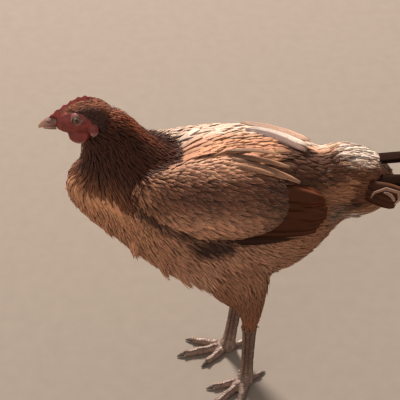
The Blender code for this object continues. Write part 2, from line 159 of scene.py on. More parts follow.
# The lids: a thin bowl over each eyeball, with an oval opening and a thick rim.
opening = math.asin(EYE_LONG / LID_INSIDE)
rim_middle = (LID_INSIDE + LID_OUTSIDE) / 2
for side, sign in SIDES.items():
    eye = middle_of(f"eye_{side}")
    lids = bmesh.new()
    turns = [opening + (LIDS_BACK - opening) * i / LID_BENDS for i in range(LID_BENDS + 1)]
    section = [(LID_INSIDE, turn) for turn in turns] + [(LID_OUTSIDE, turn) for turn in reversed(turns)]
    loop = [lids.verts.new((radius * math.cos(turn), radius * math.sin(turn), 0)) for radius, turn in section]
    edges = [lids.edges.new((loop[i - 1], loop[i])) for i in range(len(loop))]
    bmesh.ops.spin(lids, geom=loop + edges, **FULL_TURN)
    ring = bmesh.ops.create_circle(lids, segments=RIM_SIDES, radius=LID_RIM)["verts"]
    centre = Vector((rim_middle * math.cos(opening), rim_middle * math.sin(opening), 0))
    bmesh.ops.translate(lids, vec=centre, verts=ring)
    edges = list({edge for vert in ring for edge in vert.link_edges})
    bmesh.ops.spin(lids, geom=ring + edges, **FULL_TURN)
    for vert in lids.verts:  # the round opening is narrowed from above and below
        radius = vert.co.length
        out = math.hypot(vert.co.y, vert.co.z)
        narrow = math.hypot(vert.co.y * EYE_LONG, vert.co.z * EYE_HIGH) / (out * EYE_LONG)
        wanted = math.asin(EYE_LONG * narrow / LID_INSIDE)
        turn = math.acos(vert.co.x / radius)
        turn = LIDS_BACK - (LIDS_BACK - turn) * (LIDS_BACK - wanted) / (LIDS_BACK - opening)
        across = Vector((0, vert.co.y, vert.co.z)) / out
        vert.co = Vector((sign * math.cos(turn), 0, 0)) * radius + across * math.sin(turn) * radius
        vert.co += eye
    bmesh.ops.recalc_face_normals(lids, faces=lids.faces[:])
    data = bpy.data.meshes.new("lids")
    lids.to_mesh(data)
    lids.free()
    flesh.from_mesh(data)
    bpy.data.meshes.remove(data)
skin = placed("skin", flesh)
lay = in_scene("lay", skin.data.copy())
remeshed(skin, SKIN_CELL, SKIN_SMOOTHING)
remeshed(lay, LAY_CELL, LAY_SMOOTHING)

# Only the bare head and legs need the fine mesh, so it is thinned under the feathers.
fine_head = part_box("head")[0] - Vector((0, 0, MARGIN))
hock_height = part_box("drumstick_left")[0].z + MARGIN
corners = rows_of(skin.data)
on_head = (corners[:, 1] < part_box("head")[1].y) & (corners[:, 2] > fine_head.z)
fine = (corners[:, 2] < hock_height) | on_head
thin_here = skin.vertex_groups.new(name="thin_here")
thin_here.add(np.flatnonzero(~fine).tolist(), 1.0, "REPLACE")
with_modifiers(
    skin, ("DECIMATE", {"ratio": THINNED, "vertex_group": thin_here.name, "vertex_group_factor": 10.0})
)
skin.vertex_groups.clear()

# Each point of both copies belongs to the CAD piece that it lies nearest, and sinks by that piece's coat.
triangles, owners = [], []
for node in FLESH:
    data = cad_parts[node].data
    base = rows_of(data)
    faces = np.array([tuple(polygon.vertices) for polygon in data.polygons])
    triangles.append(base[faces].reshape(-1, 3))
    owners += [node] * len(faces)
triangles = np.concatenate(triangles)


def triangle_tree(corners):
    """For finding the nearest of some loose triangles, given as the rows of their corners."""
    return BVHTree.FromPolygons(corners.tolist(), np.arange(len(corners)).reshape(-1, 3).tolist())


def surface_tree(points, mesh):
    """For finding the nearest face of a mesh whose corners are at those points."""
    return BVHTree.FromPolygons(points.tolist(), [tuple(face.vertices) for face in mesh.polygons])


solids = triangle_tree(triangles)
KINDS = sorted({node.split("_")[0] for node in FLESH})
owner_kind = np.array([KINDS.index(node.split("_")[0]) for node in owners])


def kinds_at(points):
    """The number in KINDS of the CAD piece nearest each point."""
    return np.array([owner_kind[solids.find_nearest(Vector(point))[2]] for point in points])


def evened(values, mesh, rounds):
    """The values, one for each vertex, averaged along the mesh's edges."""
    ends = np.empty(len(mesh.edges) * 2, int)
    mesh.edges.foreach_get("vertices", ends)
    first, last = ends.reshape(-1, 2).T
    count = np.bincount(ends, minlength=len(mesh.vertices))
    for _ in range(rounds):
        total = np.bincount(first, values[last], len(values)) + np.bincount(last, values[first], len(values))
        values = 0.5 * values + 0.5 * total / np.maximum(count, 1)
    return values


def smooth_step(low, high, values):
    """0 up to low, 1 from high on, and an even curve between them. It falls where low is the greater."""
    share = np.clip((values - low) / (high - low), 0, 1)
    return share * share * (3 - 2 * share)


# The bare face: an oval round the eye, from the root of the beak back to the ear and down to the jaw. A curve
# over the eye and down behind it cuts it off from the feathered crown.
eye_middle = middle_of("eye_left")
FACE_BACK, FACE_DOWN = 0.0010, 0.0070  # the oval's middle, from the eye's
FACE_LENGTH, FACE_HEIGHT = 0.0225, 0.0140
FACE_EDGE = (0.88, 1.10)  # where the feathers begin and where they are full, as shares of the oval
BROW_EDGE = 0.0008  # and how far to either side of the curve
BROW = (26.0, 0.505, -0.0100)  # the curve: how far below the eye, for each distance behind it
HEAD, COMB, EARLOBE, WATTLE = (KINDS.index(kind) for kind in ("head", "comb", "earlobe", "wattle"))


def bare_face_at(points, kinds):
    """1 on the bare red skin, 0 where feathers grow."""
    behind, below = points[:, 1] - eye_middle.y, eye_middle.z - points[:, 2]
    back, down = (behind - FACE_BACK) / FACE_LENGTH, (below - FACE_DOWN) / FACE_HEIGHT
    oval = 1 - smooth_step(*FACE_EDGE, np.hypot(back, down))
    oval *= smooth_step(-BROW_EDGE, BROW_EDGE, below - np.polyval(BROW, behind))
    return np.where(np.isin(kinds, [COMB, WATTLE, EARLOBE]), 1.0, np.where(kinds == HEAD, oval, 0.0))


# The coat's depth is taken off both copies. On the bare face, fine folds of skin ring each eye.
FOLD_STEP, FOLD_HIGH, FOLD_WAVER = 0.0021, 0.00022, 0.0004
FOLDS_START, FOLDS_END = (0.0055, 0.0075), (0.018, 0.009)  # how far from the eye's middle
depth_of_kind = np.array([COAT_DEPTH.get(kind, 0.0) for kind in KINDS])
lay_points, lay_normals = rows_of(lay.data), rows_of(lay.data, field="normal")
lay_kinds = kinds_at(lay_points)
lay_depth = depth_of_kind[lay_kinds] * (1 - bare_face_at(lay_points, lay_kinds))
lay_depth = evened(lay_depth, lay.data, 2)
lay_tree = surface_tree(lay_points, lay.data)
lay_corner = np.array([polygon.vertices[0] for polygon in lay.data.polygons])

skin_points, skin_normals = rows_of(skin.data), rows_of(skin.data, field="normal")
skin_kinds = kinds_at(skin_points)
skin_bare = evened(bare_face_at(skin_points, skin_kinds), skin.data, 2)
skin_depth = evened(depth_of_kind[skin_kinds] * (1 - skin_bare), skin.data, 4)
under = [lay_corner[lay_tree.find_nearest(Vector(point))[2]] for point in skin_points]
from_eye = skin_points - eye_middle
round_eye = np.hypot(from_eye[:, 1], from_eye[:, 2])
turn = np.arctan2(from_eye[:, 2], from_eye[:, 1])
wave = math.tau * (round_eye + FOLD_WAVER * np.sin(5 * turn)) / FOLD_STEP
folds = np.sin(wave) * (0.6 + 0.4 * np.sin(3 * turn + 1))
folds *= smooth_step(*FOLDS_START, round_eye) * smooth_step(*FOLDS_END, round_eye) * skin_bare
folds *= (skin_kinds == HEAD) * FOLD_HIGH
sunk = skin_points + skin_normals * (folds - JOIN)[:, None] - lay_normals[under] * skin_depth[:, None]
sunk[:, 2] = np.maximum(sunk[:, 2], 0.0)
skin.data.vertices.foreach_set("co", sunk.ravel())
lay_points = lay_points - lay_normals * (JOIN + lay_depth)[:, None]
lay.data.vertices.foreach_set("co", lay_points.ravel())
lay.data.update()
skin.data.update()
skin.data.shade_smooth()

# The bird's colours, by the piece of the body and the place on it, for the skin and the feathers alike. A
# place is a share of the whole bird's box: 0 to 1 from beak to tail end, and from floor to crown.
PALETTE = {
    "mahogany": (0.062, 0.0175, 0.0075), "russet": (0.27, 0.068, 0.028), "buff": (0.52, 0.230, 0.115),
    "fawn": (0.50, 0.235, 0.130), "tan": (0.31, 0.118, 0.052), "sunlit_cream": (0.64, 0.46, 0.35),
    "wing_brown": (0.165, 0.062, 0.031), "wing_buff": (0.49, 0.230, 0.130), "umber": (0.042, 0.013, 0.006),
    "red": (0.20, 0.030, 0.020), "scarlet": (0.32, 0.034, 0.030), "highlight_pink": (0.50, 0.27, 0.23),
    # toe is painted light: the legs' slate paled as if lit, for the toes and the foot of the shank.
    "lid": (0.30, 0.20, 0.165), "slate": (0.145, 0.076, 0.052), "toe": (0.25, 0.160, 0.120),
    "rump": (0.175, 0.064, 0.029), "ash": (0.24, 0.165, 0.120), "down": (0.66, 0.54, 0.46),
    "pale": (0.62, 0.34, 0.215), "sunlit_milk": (0.76, 0.60, 0.49),
}
PALETTE = {name: np.array(colour) for name, colour in PALETTE.items()}
low, high = (np.array(corner) for corner in solid_box)
middle = Vector((low + high) / 2)


def shares(points):
    """How far each point is from beak to tail end and from floor to crown, and out from the middle plane."""
    share = (points - low) / (high - low)
    return share[:, 1], share[:, 2], np.abs(2 * share[:, 0] - 1)


def mixed(first, second, amount):
    """From the first colour to the second, each a name in PALETTE or a colour for each point."""
    first, second = (PALETTE[c] if isinstance(c, str) else c for c in (first, second))
    return first + (second - first) * np.asarray(amount)[..., None]


def spot(back, up, at_back, at_up, length, height):
    """1 at a place on the bird's flank, fading to 0 round it."""
    return np.exp(-(((back - at_back) / length) ** 2) - (((up - at_up) / height) ** 2))


DOWNY = [  # softer patches low on the flank and round the vent: their places, lengths, heights and colours
    ((0.700, 0.625), 0.022, 0.040, "ash"), ((0.728, 0.645), 0.026, 0.020, "umber"),
    ((0.742, 0.590), 0.017, 0.016, "down"), ((0.350, 0.460), 0.055, 0.050, "pale"),
]
WING_SHADE = (0.013, 0.001)  # how far off the wing its painted shade starts, and where it is darkest
wing_tree = triangle_tree(triangles[np.repeat([node.startswith("wing") for node in owners], 3)])


def painted_wing_shade(points):
    """Painted shade: 1 along the edge of the closed wing, where its shadow falls, 0 farther off."""
    return smooth_step(*WING_SHADE, np.array([wing_tree.find_nearest(Vector(point))[3] for point in points]))


def hem(points, node, start, end):
    """1 at the lower edge of a lobe of skin, where a painted highlight goes, 0 above it. start and end are
    heights over its lowest point.
    """
    return smooth_step(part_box(node)[0].z + start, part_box(node)[0].z + end, points[:, 2])


def markings(points, kinds):
    """The bird's colour at each point on the piece of that kind."""
    back, up, out = shares(points)
    side = (points[:, 0] - middle.x) * 2 / (high[0] - low[0])  # 1 at the left wing, -1 at the right
    wing_shade = painted_wing_shade(points)

    # A dark neck, russet over the crown and nape, tan at the foot of the throat. Painted light widens the
    # russet on the right, and a paler stripe along the top is partly the feathers' own colour and partly a
    # painted highlight.
    # Painted light: the russet reaches farther round on the right, the side the key lamp lights.
    ridge = smooth_step(0.16, 0.05, out + 0.15 * side * smooth_step(0.90, 0.97, up))
    neck = mixed("mahogany", "russet", smooth_step(0.80, 0.93, up) * ridge * 0.9)
    # A fawn stripe along the top: partly the feathers' own colour, partly a painted highlight.
    neck = mixed(neck, "fawn", smooth_step(0.93, 0.98, up) * ridge * 0.22)
    neck = mixed(neck, "tan", smooth_step(0.83, 0.74, up) * smooth_step(0.24, 0.15, back) * 0.75)
    # Painted shade: the neck is darkened in front of the wing's bend, where the wing shades it.
    neck = mixed(neck, "mahogany", wing_shade * 0.9)

    # A buff breast, a pale back that painted light turns near white on the right, a dark saddle on its left
    # that is partly dark feathers and partly painted shade, and painted shade in the hollow below the wing.
    breast = mixed("buff", "fawn", smooth_step(0.12, 0.40, back))
    breast = mixed(breast, "tan", smooth_step(0.50, 0.70, back) * 0.7)
    # Partly dark feathers and partly painted shade: the saddle is painted only on the left, the side away
    # from the key lamp.
    saddle_and_shade = smooth_step(0.51, 0.55, back) * smooth_step(0.73, 0.68, back) * smooth_step(-0.06, 0.08, side)
    # Painted shade: a dark spot in the hollow below the wing, joined to the painted shade along the wing's
    # edge.
    shaded = spot(back, up, 0.388, 0.613, 0.050, 0.026) * smooth_step(0.6, 0.8, out) * 1.3
    shaded = np.maximum(shaded, wing_shade * smooth_step(0.78, 0.72, up) * 0.65)
    # Painted light: the back turns near white toward the right, the side the key lamp lights.
    top = mixed(mixed("fawn", "sunlit_cream", smooth_step(0.05, -0.25, side)), "umber", saddle_and_shade * 0.92)
    trunk = mixed(breast, top, smooth_step(0.70, 0.76, up) * smooth_step(0.20, 0.28, back))
    trunk = mixed(trunk, "umber", np.minimum(shaded * 1.4, 0.95))

    # Brown tail coverts, tan below, and almost white along the top, where a painted highlight stands for the
    # light falling on them.
    tail = mixed("rump", mixed("tan", "fawn", 0.6), smooth_step(0.66, 0.60, up))
    # Painted highlight along the top of the tail coverts.
    tail = mixed(tail, "sunlit_milk", smooth_step(0.740, 0.770, up) * 0.95)
    # Partly dark feathers and partly painted shade: the root of the tail is darkened on its left only.
    tail = mixed(tail, "umber", smooth_step(0.745, 0.715, back) * smooth_step(0.10, 0.25, side) * 0.6)
    for place, length, height, colour in DOWNY:
        patch = spot(back, up, *place, length, height) * 0.85
        trunk, tail = mixed(trunk, colour, patch), mixed(tail, colour, patch)

    # Wings buff at the shoulder and along the lower edge, brown between, darkest toward the flight feathers,
    # with painted light on the shoulder, along the upper edge and over the top of the right wing.
    wing = mixed("wing_buff", "wing_brown", smooth_step(0.675, 0.750, up))
    wing = mixed(wing, "wing_buff", smooth_step(0.78, 0.82, up))
    # Painted highlight on the shoulder.
    wing = mixed(wing, "fawn", spot(back, up, 0.245, 0.790, 0.035, 0.035) * 0.2)
    wing = mixed(wing, "umber", smooth_step(0.40, 0.58, back) * 0.80)
    wing = mixed(wing, "buff", smooth_step(0.275, 0.225, back) * 0.6)
    wing = mixed(wing, "umber", spot(back, up, 0.370, 0.760, 0.090, 0.026) * 0.5)
    # Painted light along the wing's upper edge, where the light falls on it.
    lit_upper_edge = smooth_step(0.782, 0.808, up) * smooth_step(0.50, 0.36, back)
    wing = mixed(mixed(wing, "fawn", lit_upper_edge * 0.55), "sunlit_cream", lit_upper_edge * 0.12)
    # Painted light on the top of the right wing, the side the key lamp lights.
    wing = mixed(wing, "sunlit_cream", smooth_step(0.74, 0.80, up) * smooth_step(-0.1, -0.3, side) * 0.8)

    by_kind = {
        "neck": neck, "head": neck, "trunk": trunk, "tail": tail, "wing": wing,
        "drumstick": mixed("tan", "fawn", smooth_step(0.35, 0.5, up) * 0.6),
        # Painted light: the toes and the foot of the shank are paler than the slate above, standing for the
        # light on them.
        "shank": mixed("slate", "toe", smooth_step(0.12, 0.02, up)), "toe": PALETTE["toe"],
        "comb": PALETTE["scarlet"],
        # Painted highlight: the lower edges of the wattles and earlobes are paled.
        "wattle": mixed("red", "highlight_pink", hem(points, "wattle_left", 0.004, 0.001) * 0.6),
        "earlobe": mixed("red", "highlight_pink", hem(points, "earlobe_left", 0.007, 0.002) * 0.9),
    }
    colours = np.empty((len(points), 3))
    for number, kind in enumerate(KINDS):
        colours[kinds == number] = np.broadcast_to(by_kind[kind], colours.shape)[kinds == number]
    return colours


def paint(mesh, name, values):
    """Stores one number or one colour for each vertex."""
    kind = "FLOAT_COLOR" if values.ndim == 2 else "FLOAT"
    attribute = mesh.attributes.new(name, kind, "POINT")
    if values.ndim == 2:
        values = np.column_stack([values, np.ones(len(values))])
    attribute.data.foreach_set("color" if values.ndim == 2 else "value", values.ravel().astype(np.float32))


on_head = skin_kinds == HEAD
lid_here = smooth_step(EYE_LONG + 0.0016, EYE_LONG + 0.0006, round_eye) * on_head
skin_colours = mixed(markings(skin_points, skin_kinds), "red", skin_bare * on_head)
paint(skin.data, "plumage", mixed(skin_colours, "lid", lid_here * 0.6))


def nodes_for(name, roughness, **sockets):
    """A new material, and short ways of adding a node to it and of joining an output to its shader."""
    material = bpy.data.materials.new(name)
    material.use_nodes = True
    tree = material.node_tree
    shader = tree.nodes["Principled BSDF"]
    shader.inputs["Roughness"].default_value = roughness
    for socket, value in sockets.items():
        shader.inputs[socket.replace("_", " ")].default_value = value

    def add(kind, settings=None, **inputs):
        node = tree.nodes.new("ShaderNode" + kind)
        for key, value in (settings or {}).items():
            setattr(node, key, value)
        for key, value in inputs.items():
            numbered = key[0] == "i" and key[1:].isdigit()
            socket = node.inputs[int(key[1:]) if numbered else key.replace("_", " ")]
            if isinstance(value, bpy.types.NodeSocket):
                tree.links.new(value, socket)
            else:
                socket.default_value = value
        return node

    def join(value, socket):
        tree.links.new(value, shader.inputs[socket])

    return material, add, join


def maths(add, operation, *values):
    """The output of a Math node."""
    inputs = {f"i{number}": value for number, value in enumerate(values)}
    return add("Math", {"operation": operation}, **inputs).outputs[0]


def times(add, first, second):
    """The first colour multiplied by the second colour or shade."""
    return add("MixRGB", {"blend_type": "MULTIPLY"}, Fac=1.0, Color1=first, Color2=second).outputs["Color"]


def span(add, value, start, end, **settings):
    """The value carried over from the range start to the range end."""
    ranges = {"From_Min": start[0], "From_Max": start[1], "To_Min": end[0], "To_Max": end[1]}
    return add("MapRange", settings, Value=value, **ranges).outputs[0]


def ramp_of(add, share, stops):
    """The colour at that share of a ramp of two or more stops, each a position and a colour."""
    node = add("ValToRGB", Fac=share)
    elements = node.color_ramp.elements
    for i, (position, colour) in enumerate(stops):
        stop = elements[i] if i < 2 else elements.new(position)
        stop.position = position
        stop.color = (*colour, 1)
    return node.outputs["Color"]


def roughen(add, join, height, strength, distance):
    """Fine relief on the surface."""
    join(add("Bump", Strength=strength, Distance=distance, Height=height).outputs["Normal"], "Normal")


skin_finish, add, join = nodes_for("bare_skin", 0.55, Subsurface_Weight=0.06)
shader = skin_finish.node_tree.nodes["Principled BSDF"]
shader.inputs["Subsurface Radius"].default_value = (0.0030, 0.0010, 0.0006)
place = add("TexCoord").outputs["Object"]
marking = add("Attribute", {"attribute_name": "plumage"}).outputs["Color"]
pebbles = add("TexVoronoi", Vector=place, Scale=900.0).outputs["Distance"]
blotches = add("TexNoise", Vector=place, Scale=170.0, Detail=4.0).outputs["Fac"]
flush = ramp_of(add, blotches, [(0.30, (0.62, 0.55, 0.55)), (0.72, (1.35, 1.25, 1.2))])
join(times(add, marking, flush), "Base Color")
roughen(add, join, pebbles, 0.35, 0.0004)
skin.data.materials.clear()
skin.data.materials.append(skin_finish)
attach(skin, "root")
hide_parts(*FLESH)


# Eyes. Glass balls are set behind the lids. Each has a round black pupil, an amber-brown iris with a darker
# rim, and a clear front.
PUPIL, IRIS = 0.0017, 0.0039  # radii seen from the front
EYE_RINGS = [  # from the middle out, as shares of the iris's radius
    (PUPIL / IRIS, (0.004, 0.003, 0.003)), (PUPIL / IRIS + 0.05, (0.12, 0.045, 0.014)),
    (0.70, (0.21, 0.085, 0.028)), (0.88, (0.13, 0.05, 0.02)), (0.97, (0.02, 0.01, 0.008)),
]

eye_finish, add, join = nodes_for("eye", 0.04, Coat_Weight=1.0, Coat_Roughness=0.02, Specular_IOR_Level=0.5)
from_axis = add("Attribute", {"attribute_name": "from_axis"}).outputs["Fac"]
place = add("TexCoord").outputs["Object"]
threads = add("TexNoise", Vector=place, Scale=1400.0, Detail=2.0).outputs["Fac"]
waver = span(add, threads, (0.3, 0.7), (-0.0002, 0.0002))
share = maths(add, "DIVIDE", maths(add, "ADD", from_axis, waver), IRIS)
join(ramp_of(add, share, EYE_RINGS), "Base Color")
for side in SIDES:
    low_corner, high_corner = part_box(f"eye_{side}")
    centre = middle_of(f"eye_{side}")
    ball = bmesh.new()
    bmesh.ops.create_uvsphere(
        ball, u_segments=32, v_segments=28, radius=(high_corner.z - low_corner.z) / 2,
        matrix=Matrix.Translation(centre) @ Matrix.Rotation(math.pi / 2, 4, "Y"),
    )
    count = len(ball.verts)  # the faces are put in the same order every time
    ball.faces.sort(key=lambda face: face.verts[0].index * count + face.verts[1].index)
    eye = placed(f"eye_{side}_glass", ball)
    paint(eye.data, "from_axis", np.hypot(*(rows_of(eye.data) - centre)[:, 1:].T))
    eye.data.shade_smooth()
    eye.data.materials.append(eye_finish)
    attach(eye, "root")
    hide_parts(f"eye_{side}")


# Beak. A horn sheath grows on each jaw. The upper one hooks over the lower and has a slit nostril on each
# side, under a raised flap.
HORN_CELL = 0.00035
NOSTRIL_Y, NOSTRIL_Z = -0.1838, 0.3243
NOSTRIL_LONG, NOSTRIL_HIGH, NOSTRIL_DEEP, FLAP = 0.0019, 0.0006, 0.0010, 0.0005
SWELL = 0.00030  # makes up for what the smoothing takes off
TUCK = 0.10  # how much narrower the root grows where it goes under the skin
CLOSE = 0.0004  # how far the lower jaw is lifted to shut
HORN_ROOT, HORN_TIP, HORN_CREST = (np.array(colour) for colour in (
    (0.220, 0.078, 0.052), (0.48, 0.25, 0.170), (0.085, 0.032, 0.022),
))

horn, add, join = nodes_for("beak_horn", 0.38, Specular_IOR_Level=0.45, Coat_Weight=0.15, Coat_Roughness=0.3)
colour = add("Attribute", {"attribute_name": "plumage"}).outputs["Color"]
place = add("TexCoord").outputs["Object"]
stretched = add("VectorMath", {"operation": "MULTIPLY"}, i0=place, i1=(1.0, 0.18, 1.0)).outputs[0]
growth = add("TexNoise", Vector=stretched, Scale=1500.0, Detail=3.0).outputs["Fac"]
worn = span(add, growth, (0.3, 0.7), (0.82, 1.2))
join(times(add, colour, worn), "Base Color")
roughen(add, join, growth, 0.3, 0.0002)
for jaw in ("upper", "lower"):
    sheath = remeshed(placed(f"beak_{jaw}_sheath", copy_of([f"beak_{jaw}"])), HORN_CELL, 5)
    points, normals = rows_of(sheath.data), rows_of(sheath.data, field="normal")
    centre = np.array(middle_of(f"beak_{jaw}"))
    root = smooth_step(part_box("head")[0].y - 0.0040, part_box("head")[0].y + 0.0010, points[:, 1])
    hole, flap = np.zeros(len(points)), np.zeros(len(points))
    if jaw == "upper":
        back, up = points[:, 1] - NOSTRIL_Y, points[:, 2] - NOSTRIL_Z
        long = ((back + 0.35 * up) / NOSTRIL_LONG) ** 2
        sideways = smooth_step(0.2, 0.5, np.abs(normals[:, 0]))
        hole = np.exp(-long - (up / NOSTRIL_HIGH) ** 2) * sideways
        flap = np.exp(-long - ((up - 1.6 * NOSTRIL_HIGH) / NOSTRIL_HIGH) ** 2) * sideways
    reach = smooth_step(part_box("beak_upper")[1].y - 0.002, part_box("beak_upper")[0].y, points[:, 1])
    horn_colours = mixed(HORN_ROOT, HORN_TIP, reach)
    crest = smooth_step(0.15, 0.85, normals[:, 2]) * (1 - 0.7 * reach) * (jaw == "upper")
    # Painted shade: the nostril slit is darkened, as the shade in its opening would be.
    horn_colours = mixed(horn_colours, HORN_CREST, crest * 0.75) * (1 - 0.8 * hole)[:, None]
    points = points + normals * (SWELL + FLAP * flap - NOSTRIL_DEEP * hole)[:, None]
    points[:, [0, 2]] += (centre - points)[:, [0, 2]] * (TUCK * root)[:, None]
    points[:, 2] += CLOSE * (jaw == "lower")
    sheath.data.vertices.foreach_set("co", points.ravel())
    sheath.data.update()
    paint(sheath.data, "plumage", horn_colours)
    sheath.data.shade_smooth()
    sheath.data.materials.clear()
    sheath.data.materials.append(horn)
    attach(sheath, "root")
    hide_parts(f"beak_{jaw}")


# Claws. Four curved sheaths of dark slate horn on each foot, mottled paler where they are worn, and rooted in
# the toes' ends.
CLAW_DARK, CLAW_PALE = (0.055, 0.038, 0.030, 1), (0.16, 0.115, 0.085, 1)
claw_horn, add, join = nodes_for("claw_horn", 0.42, Specular_IOR_Level=0.4)
place = add("TexCoord").outputs["Object"]
growth = add("TexNoise", Vector=place, Scale=900.0, Detail=3.0).outputs["Fac"]
join(add("MixRGB", Fac=growth, Color1=CLAW_DARK, Color2=CLAW_PALE).outputs["Color"], "Base Color")
roughen(add, join, growth, 0.3, 0.0002)
for side in SIDES:
    nodes = sorted(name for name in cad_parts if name.startswith("claw") and name.endswith(side))
    claws = remeshed(placed(f"claws_{side}", copy_of(nodes)), HORN_CELL, 4)
    claws.data.shade_smooth()
    claws.data.materials.clear()
    claws.data.materials.append(claw_horn)
    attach(claws, "root")
    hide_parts(*nodes)


# Plumage. Feathers are thin closed vanes laid over the skin, each on its own curved shaft. They are rooted in
# the skin at even spacing, follow the lie of the coat and rise by its depth from root to tip.
LIE = [  # places as shares back from the beak, up from the floor and out from the middle, and the lie there
    ((0.09, 0.98, 0.0), (0.0, 1.0, 0.10)), ((0.15, 0.99, 0.0), (0.0, 1.0, -0.15)),
    ((0.12, 0.92, 0.2), (0.0, 1.0, -0.35)), ((0.21, 0.95, 0.0), (0.0, 0.80, -0.60)),
    ((0.20, 0.86, 0.3), (0.0, 0.40, -0.90)), ((0.11, 0.83, 0.0), (0.0, 0.15, -1.0)),
    ((0.23, 0.77, 0.5), (0.0, 0.45, -0.90)), ((0.08, 0.76, 0.0), (0.0, 0.00, -1.0)),
    ((0.30, 0.83, 0.2), (0.0, 0.70, -0.70)), ((0.36, 0.80, 0.3), (0.0, 0.95, -0.35)),
    ((0.05, 0.66, 0.0), (0.0, 0.15, -1.0)), ((0.15, 0.63, 0.7), (0.0, 0.50, -0.85)),
    ((0.20, 0.45, 0.0), (0.0, 0.80, -0.60)), ((0.42, 0.37, 0.0), (0.0, 1.0, -0.10)),
    ((0.65, 0.42, 0.0), (0.0, 1.0, 0.30)), ((0.40, 0.50, 0.9), (0.0, 0.80, -0.60)),
    ((0.62, 0.50, 0.8), (0.0, 1.0, -0.20)), ((0.35, 0.83, 0.4), (0.0, 1.0, -0.12)),
    ((0.50, 0.83, 0.0), (0.0, 1.0, -0.05)), ((0.72, 0.78, 0.0), (0.0, 1.0, -0.15)),
    ((0.85, 0.78, 0.0), (0.0, 1.0, -0.12)), ((0.85, 0.58, 0.0), (0.0, 1.0, 0.25)),
    ((0.30, 0.74, 1.0), (0.0, 0.90, -0.42)), ((0.55, 0.70, 1.0), (0.0, 0.92, -0.38)),
    ((0.50, 0.42, 0.7), (0.0, 0.30, -1.0)), ((0.54, 0.28, 0.5), (0.0, 0.05, -1.0)),
]
STEPS = 5  # joints along a shaft
SHAFT = np.array([0.0, 0.16, 0.38, 0.64, 0.87, 1.0])  # where they are, from root to tip
RISE = 1 - (1 - SHAFT) ** 2.2  # how far it has risen there, as a share of the coat's depth
CAMBER = 0.13  # how far a vane's edges droop, in half widths
VANE_THICK = 0.00016
ROOTED = 0.0001  # how far off the skin a shaft starts
PULL = 0.8  # how strongly a shaft bends back to the body where it stands too far off
PATCH = 0.003  # a tuft's size in the map OFBake


def pattern(rim, caps):
    """A closed vane: the corners of its section from edge to edge and back underneath, and its end faces."""
    corners = len(rim)
    tube = bmesh.new()
    bmesh.ops.create_circle(tube, segments=corners, radius=1.0)
    edges = tube.edges[:]
    for _ in range(STEPS):
        made = bmesh.ops.extrude_edge_only(tube, edges=edges)["geom"]
        bmesh.ops.translate(tube, vec=(0, 0, 1), verts=[v for v in made if isinstance(v, bmesh.types.BMVert)])
        edges = [edge for edge in made if isinstance(edge, bmesh.types.BMEdge)]
    tube.verts.ensure_lookup_table()
    ring = np.array([round(v.co.z) for v in tube.verts])
    turns = [math.atan2(v.co.y, v.co.x) / math.tau - 0.25 for v in tube.verts]
    turn = np.array([round(share * corners) % corners for share in turns])
    place = {key: i for i, key in enumerate(zip(ring.tolist(), turn.tolist()))}
    quads = sorted([v.index for v in face.verts] for face in tube.faces)  # in the same order every time
    quads += [[place[0, corner] for corner in reversed(cap)] for cap in caps]
    quads += [[place[STEPS, corner] for corner in cap] for cap in caps]
    tube.free()
    return ring, np.array(rim)[turn], turn == corners - 1, np.array(quads)


BROAD = pattern([-1.0, -0.5, 0.0, 0.5, 1.0, 0.0], [(0, 1, 2, 5), (2, 3, 4, 5)])
NARROW = pattern([-1.0, 0.0, 1.0, 0.0], [(0, 1, 2, 3)])
dice = np.random.default_rng(7)

lay_normals = unit(lay_normals)
lay_tree = surface_tree(lay_points, lay.data)
lay_faces = [np.array(p.vertices) for p in lay.data.polygons]
lay_middles = np.array([lay_points[face].mean(axis=0) for face in lay_faces])
lay_out = unit(np.array([lay_normals[face].mean(axis=0) for face in lay_faces]))
lay_area = np.array([polygon.area for polygon in lay.data.polygons])
lay_face_kinds = lay_kinds[lay_corner]
lie_places = np.array([place for place, _ in LIE])
lie_ways = unit(np.array([way for _, way in LIE]))


def lie_at(points, outs):
    """Which way the coat lies at each point, along the skin."""
    back, up, out = shares(points)
    apart = np.column_stack([back, up, out * 0.4])[:, None] - lie_places * (1, 1, 0.4)
    weight = 1 / ((apart**2).sum(axis=2) + 0.0008) ** 2
    ways = (weight[:, :, None] * lie_ways).sum(axis=1)
    ways -= outs * (ways * outs).sum(axis=1, keepdims=True)
    return unit(ways)


def scattered(chosen, spacing, seed):
    """Evenly spaced roots on the chosen faces: points, outward directions. spacing is read at each point."""
    draw = np.random.default_rng(seed)
    area = np.where(chosen, lay_area, 0.0)
    closest = spacing(lay_middles[chosen])
    count = int((lay_area[chosen] / closest**2).sum() * 7)
    picks = draw.choice(len(area), count, p=area / area.sum())
    points = np.empty((count, 3))
    for i, face in enumerate(picks):
        corners = lay_points[lay_faces[face]]
        points[i] = draw.dirichlet(np.ones(len(corners))) @ corners
    gap = spacing(points)
    tree = KDTree(count)
    for i, point in enumerate(points):
        tree.insert(point, i)
    tree.balance()
    free = np.ones(count, bool)
    kept = []
    for i in range(count):
        if free[i]:
            kept.append(i)
            for _, other, _ in tree.find_range(points[i], gap[i]):
                free[other] = False
    return points[kept], lay_out[picks[kept]]


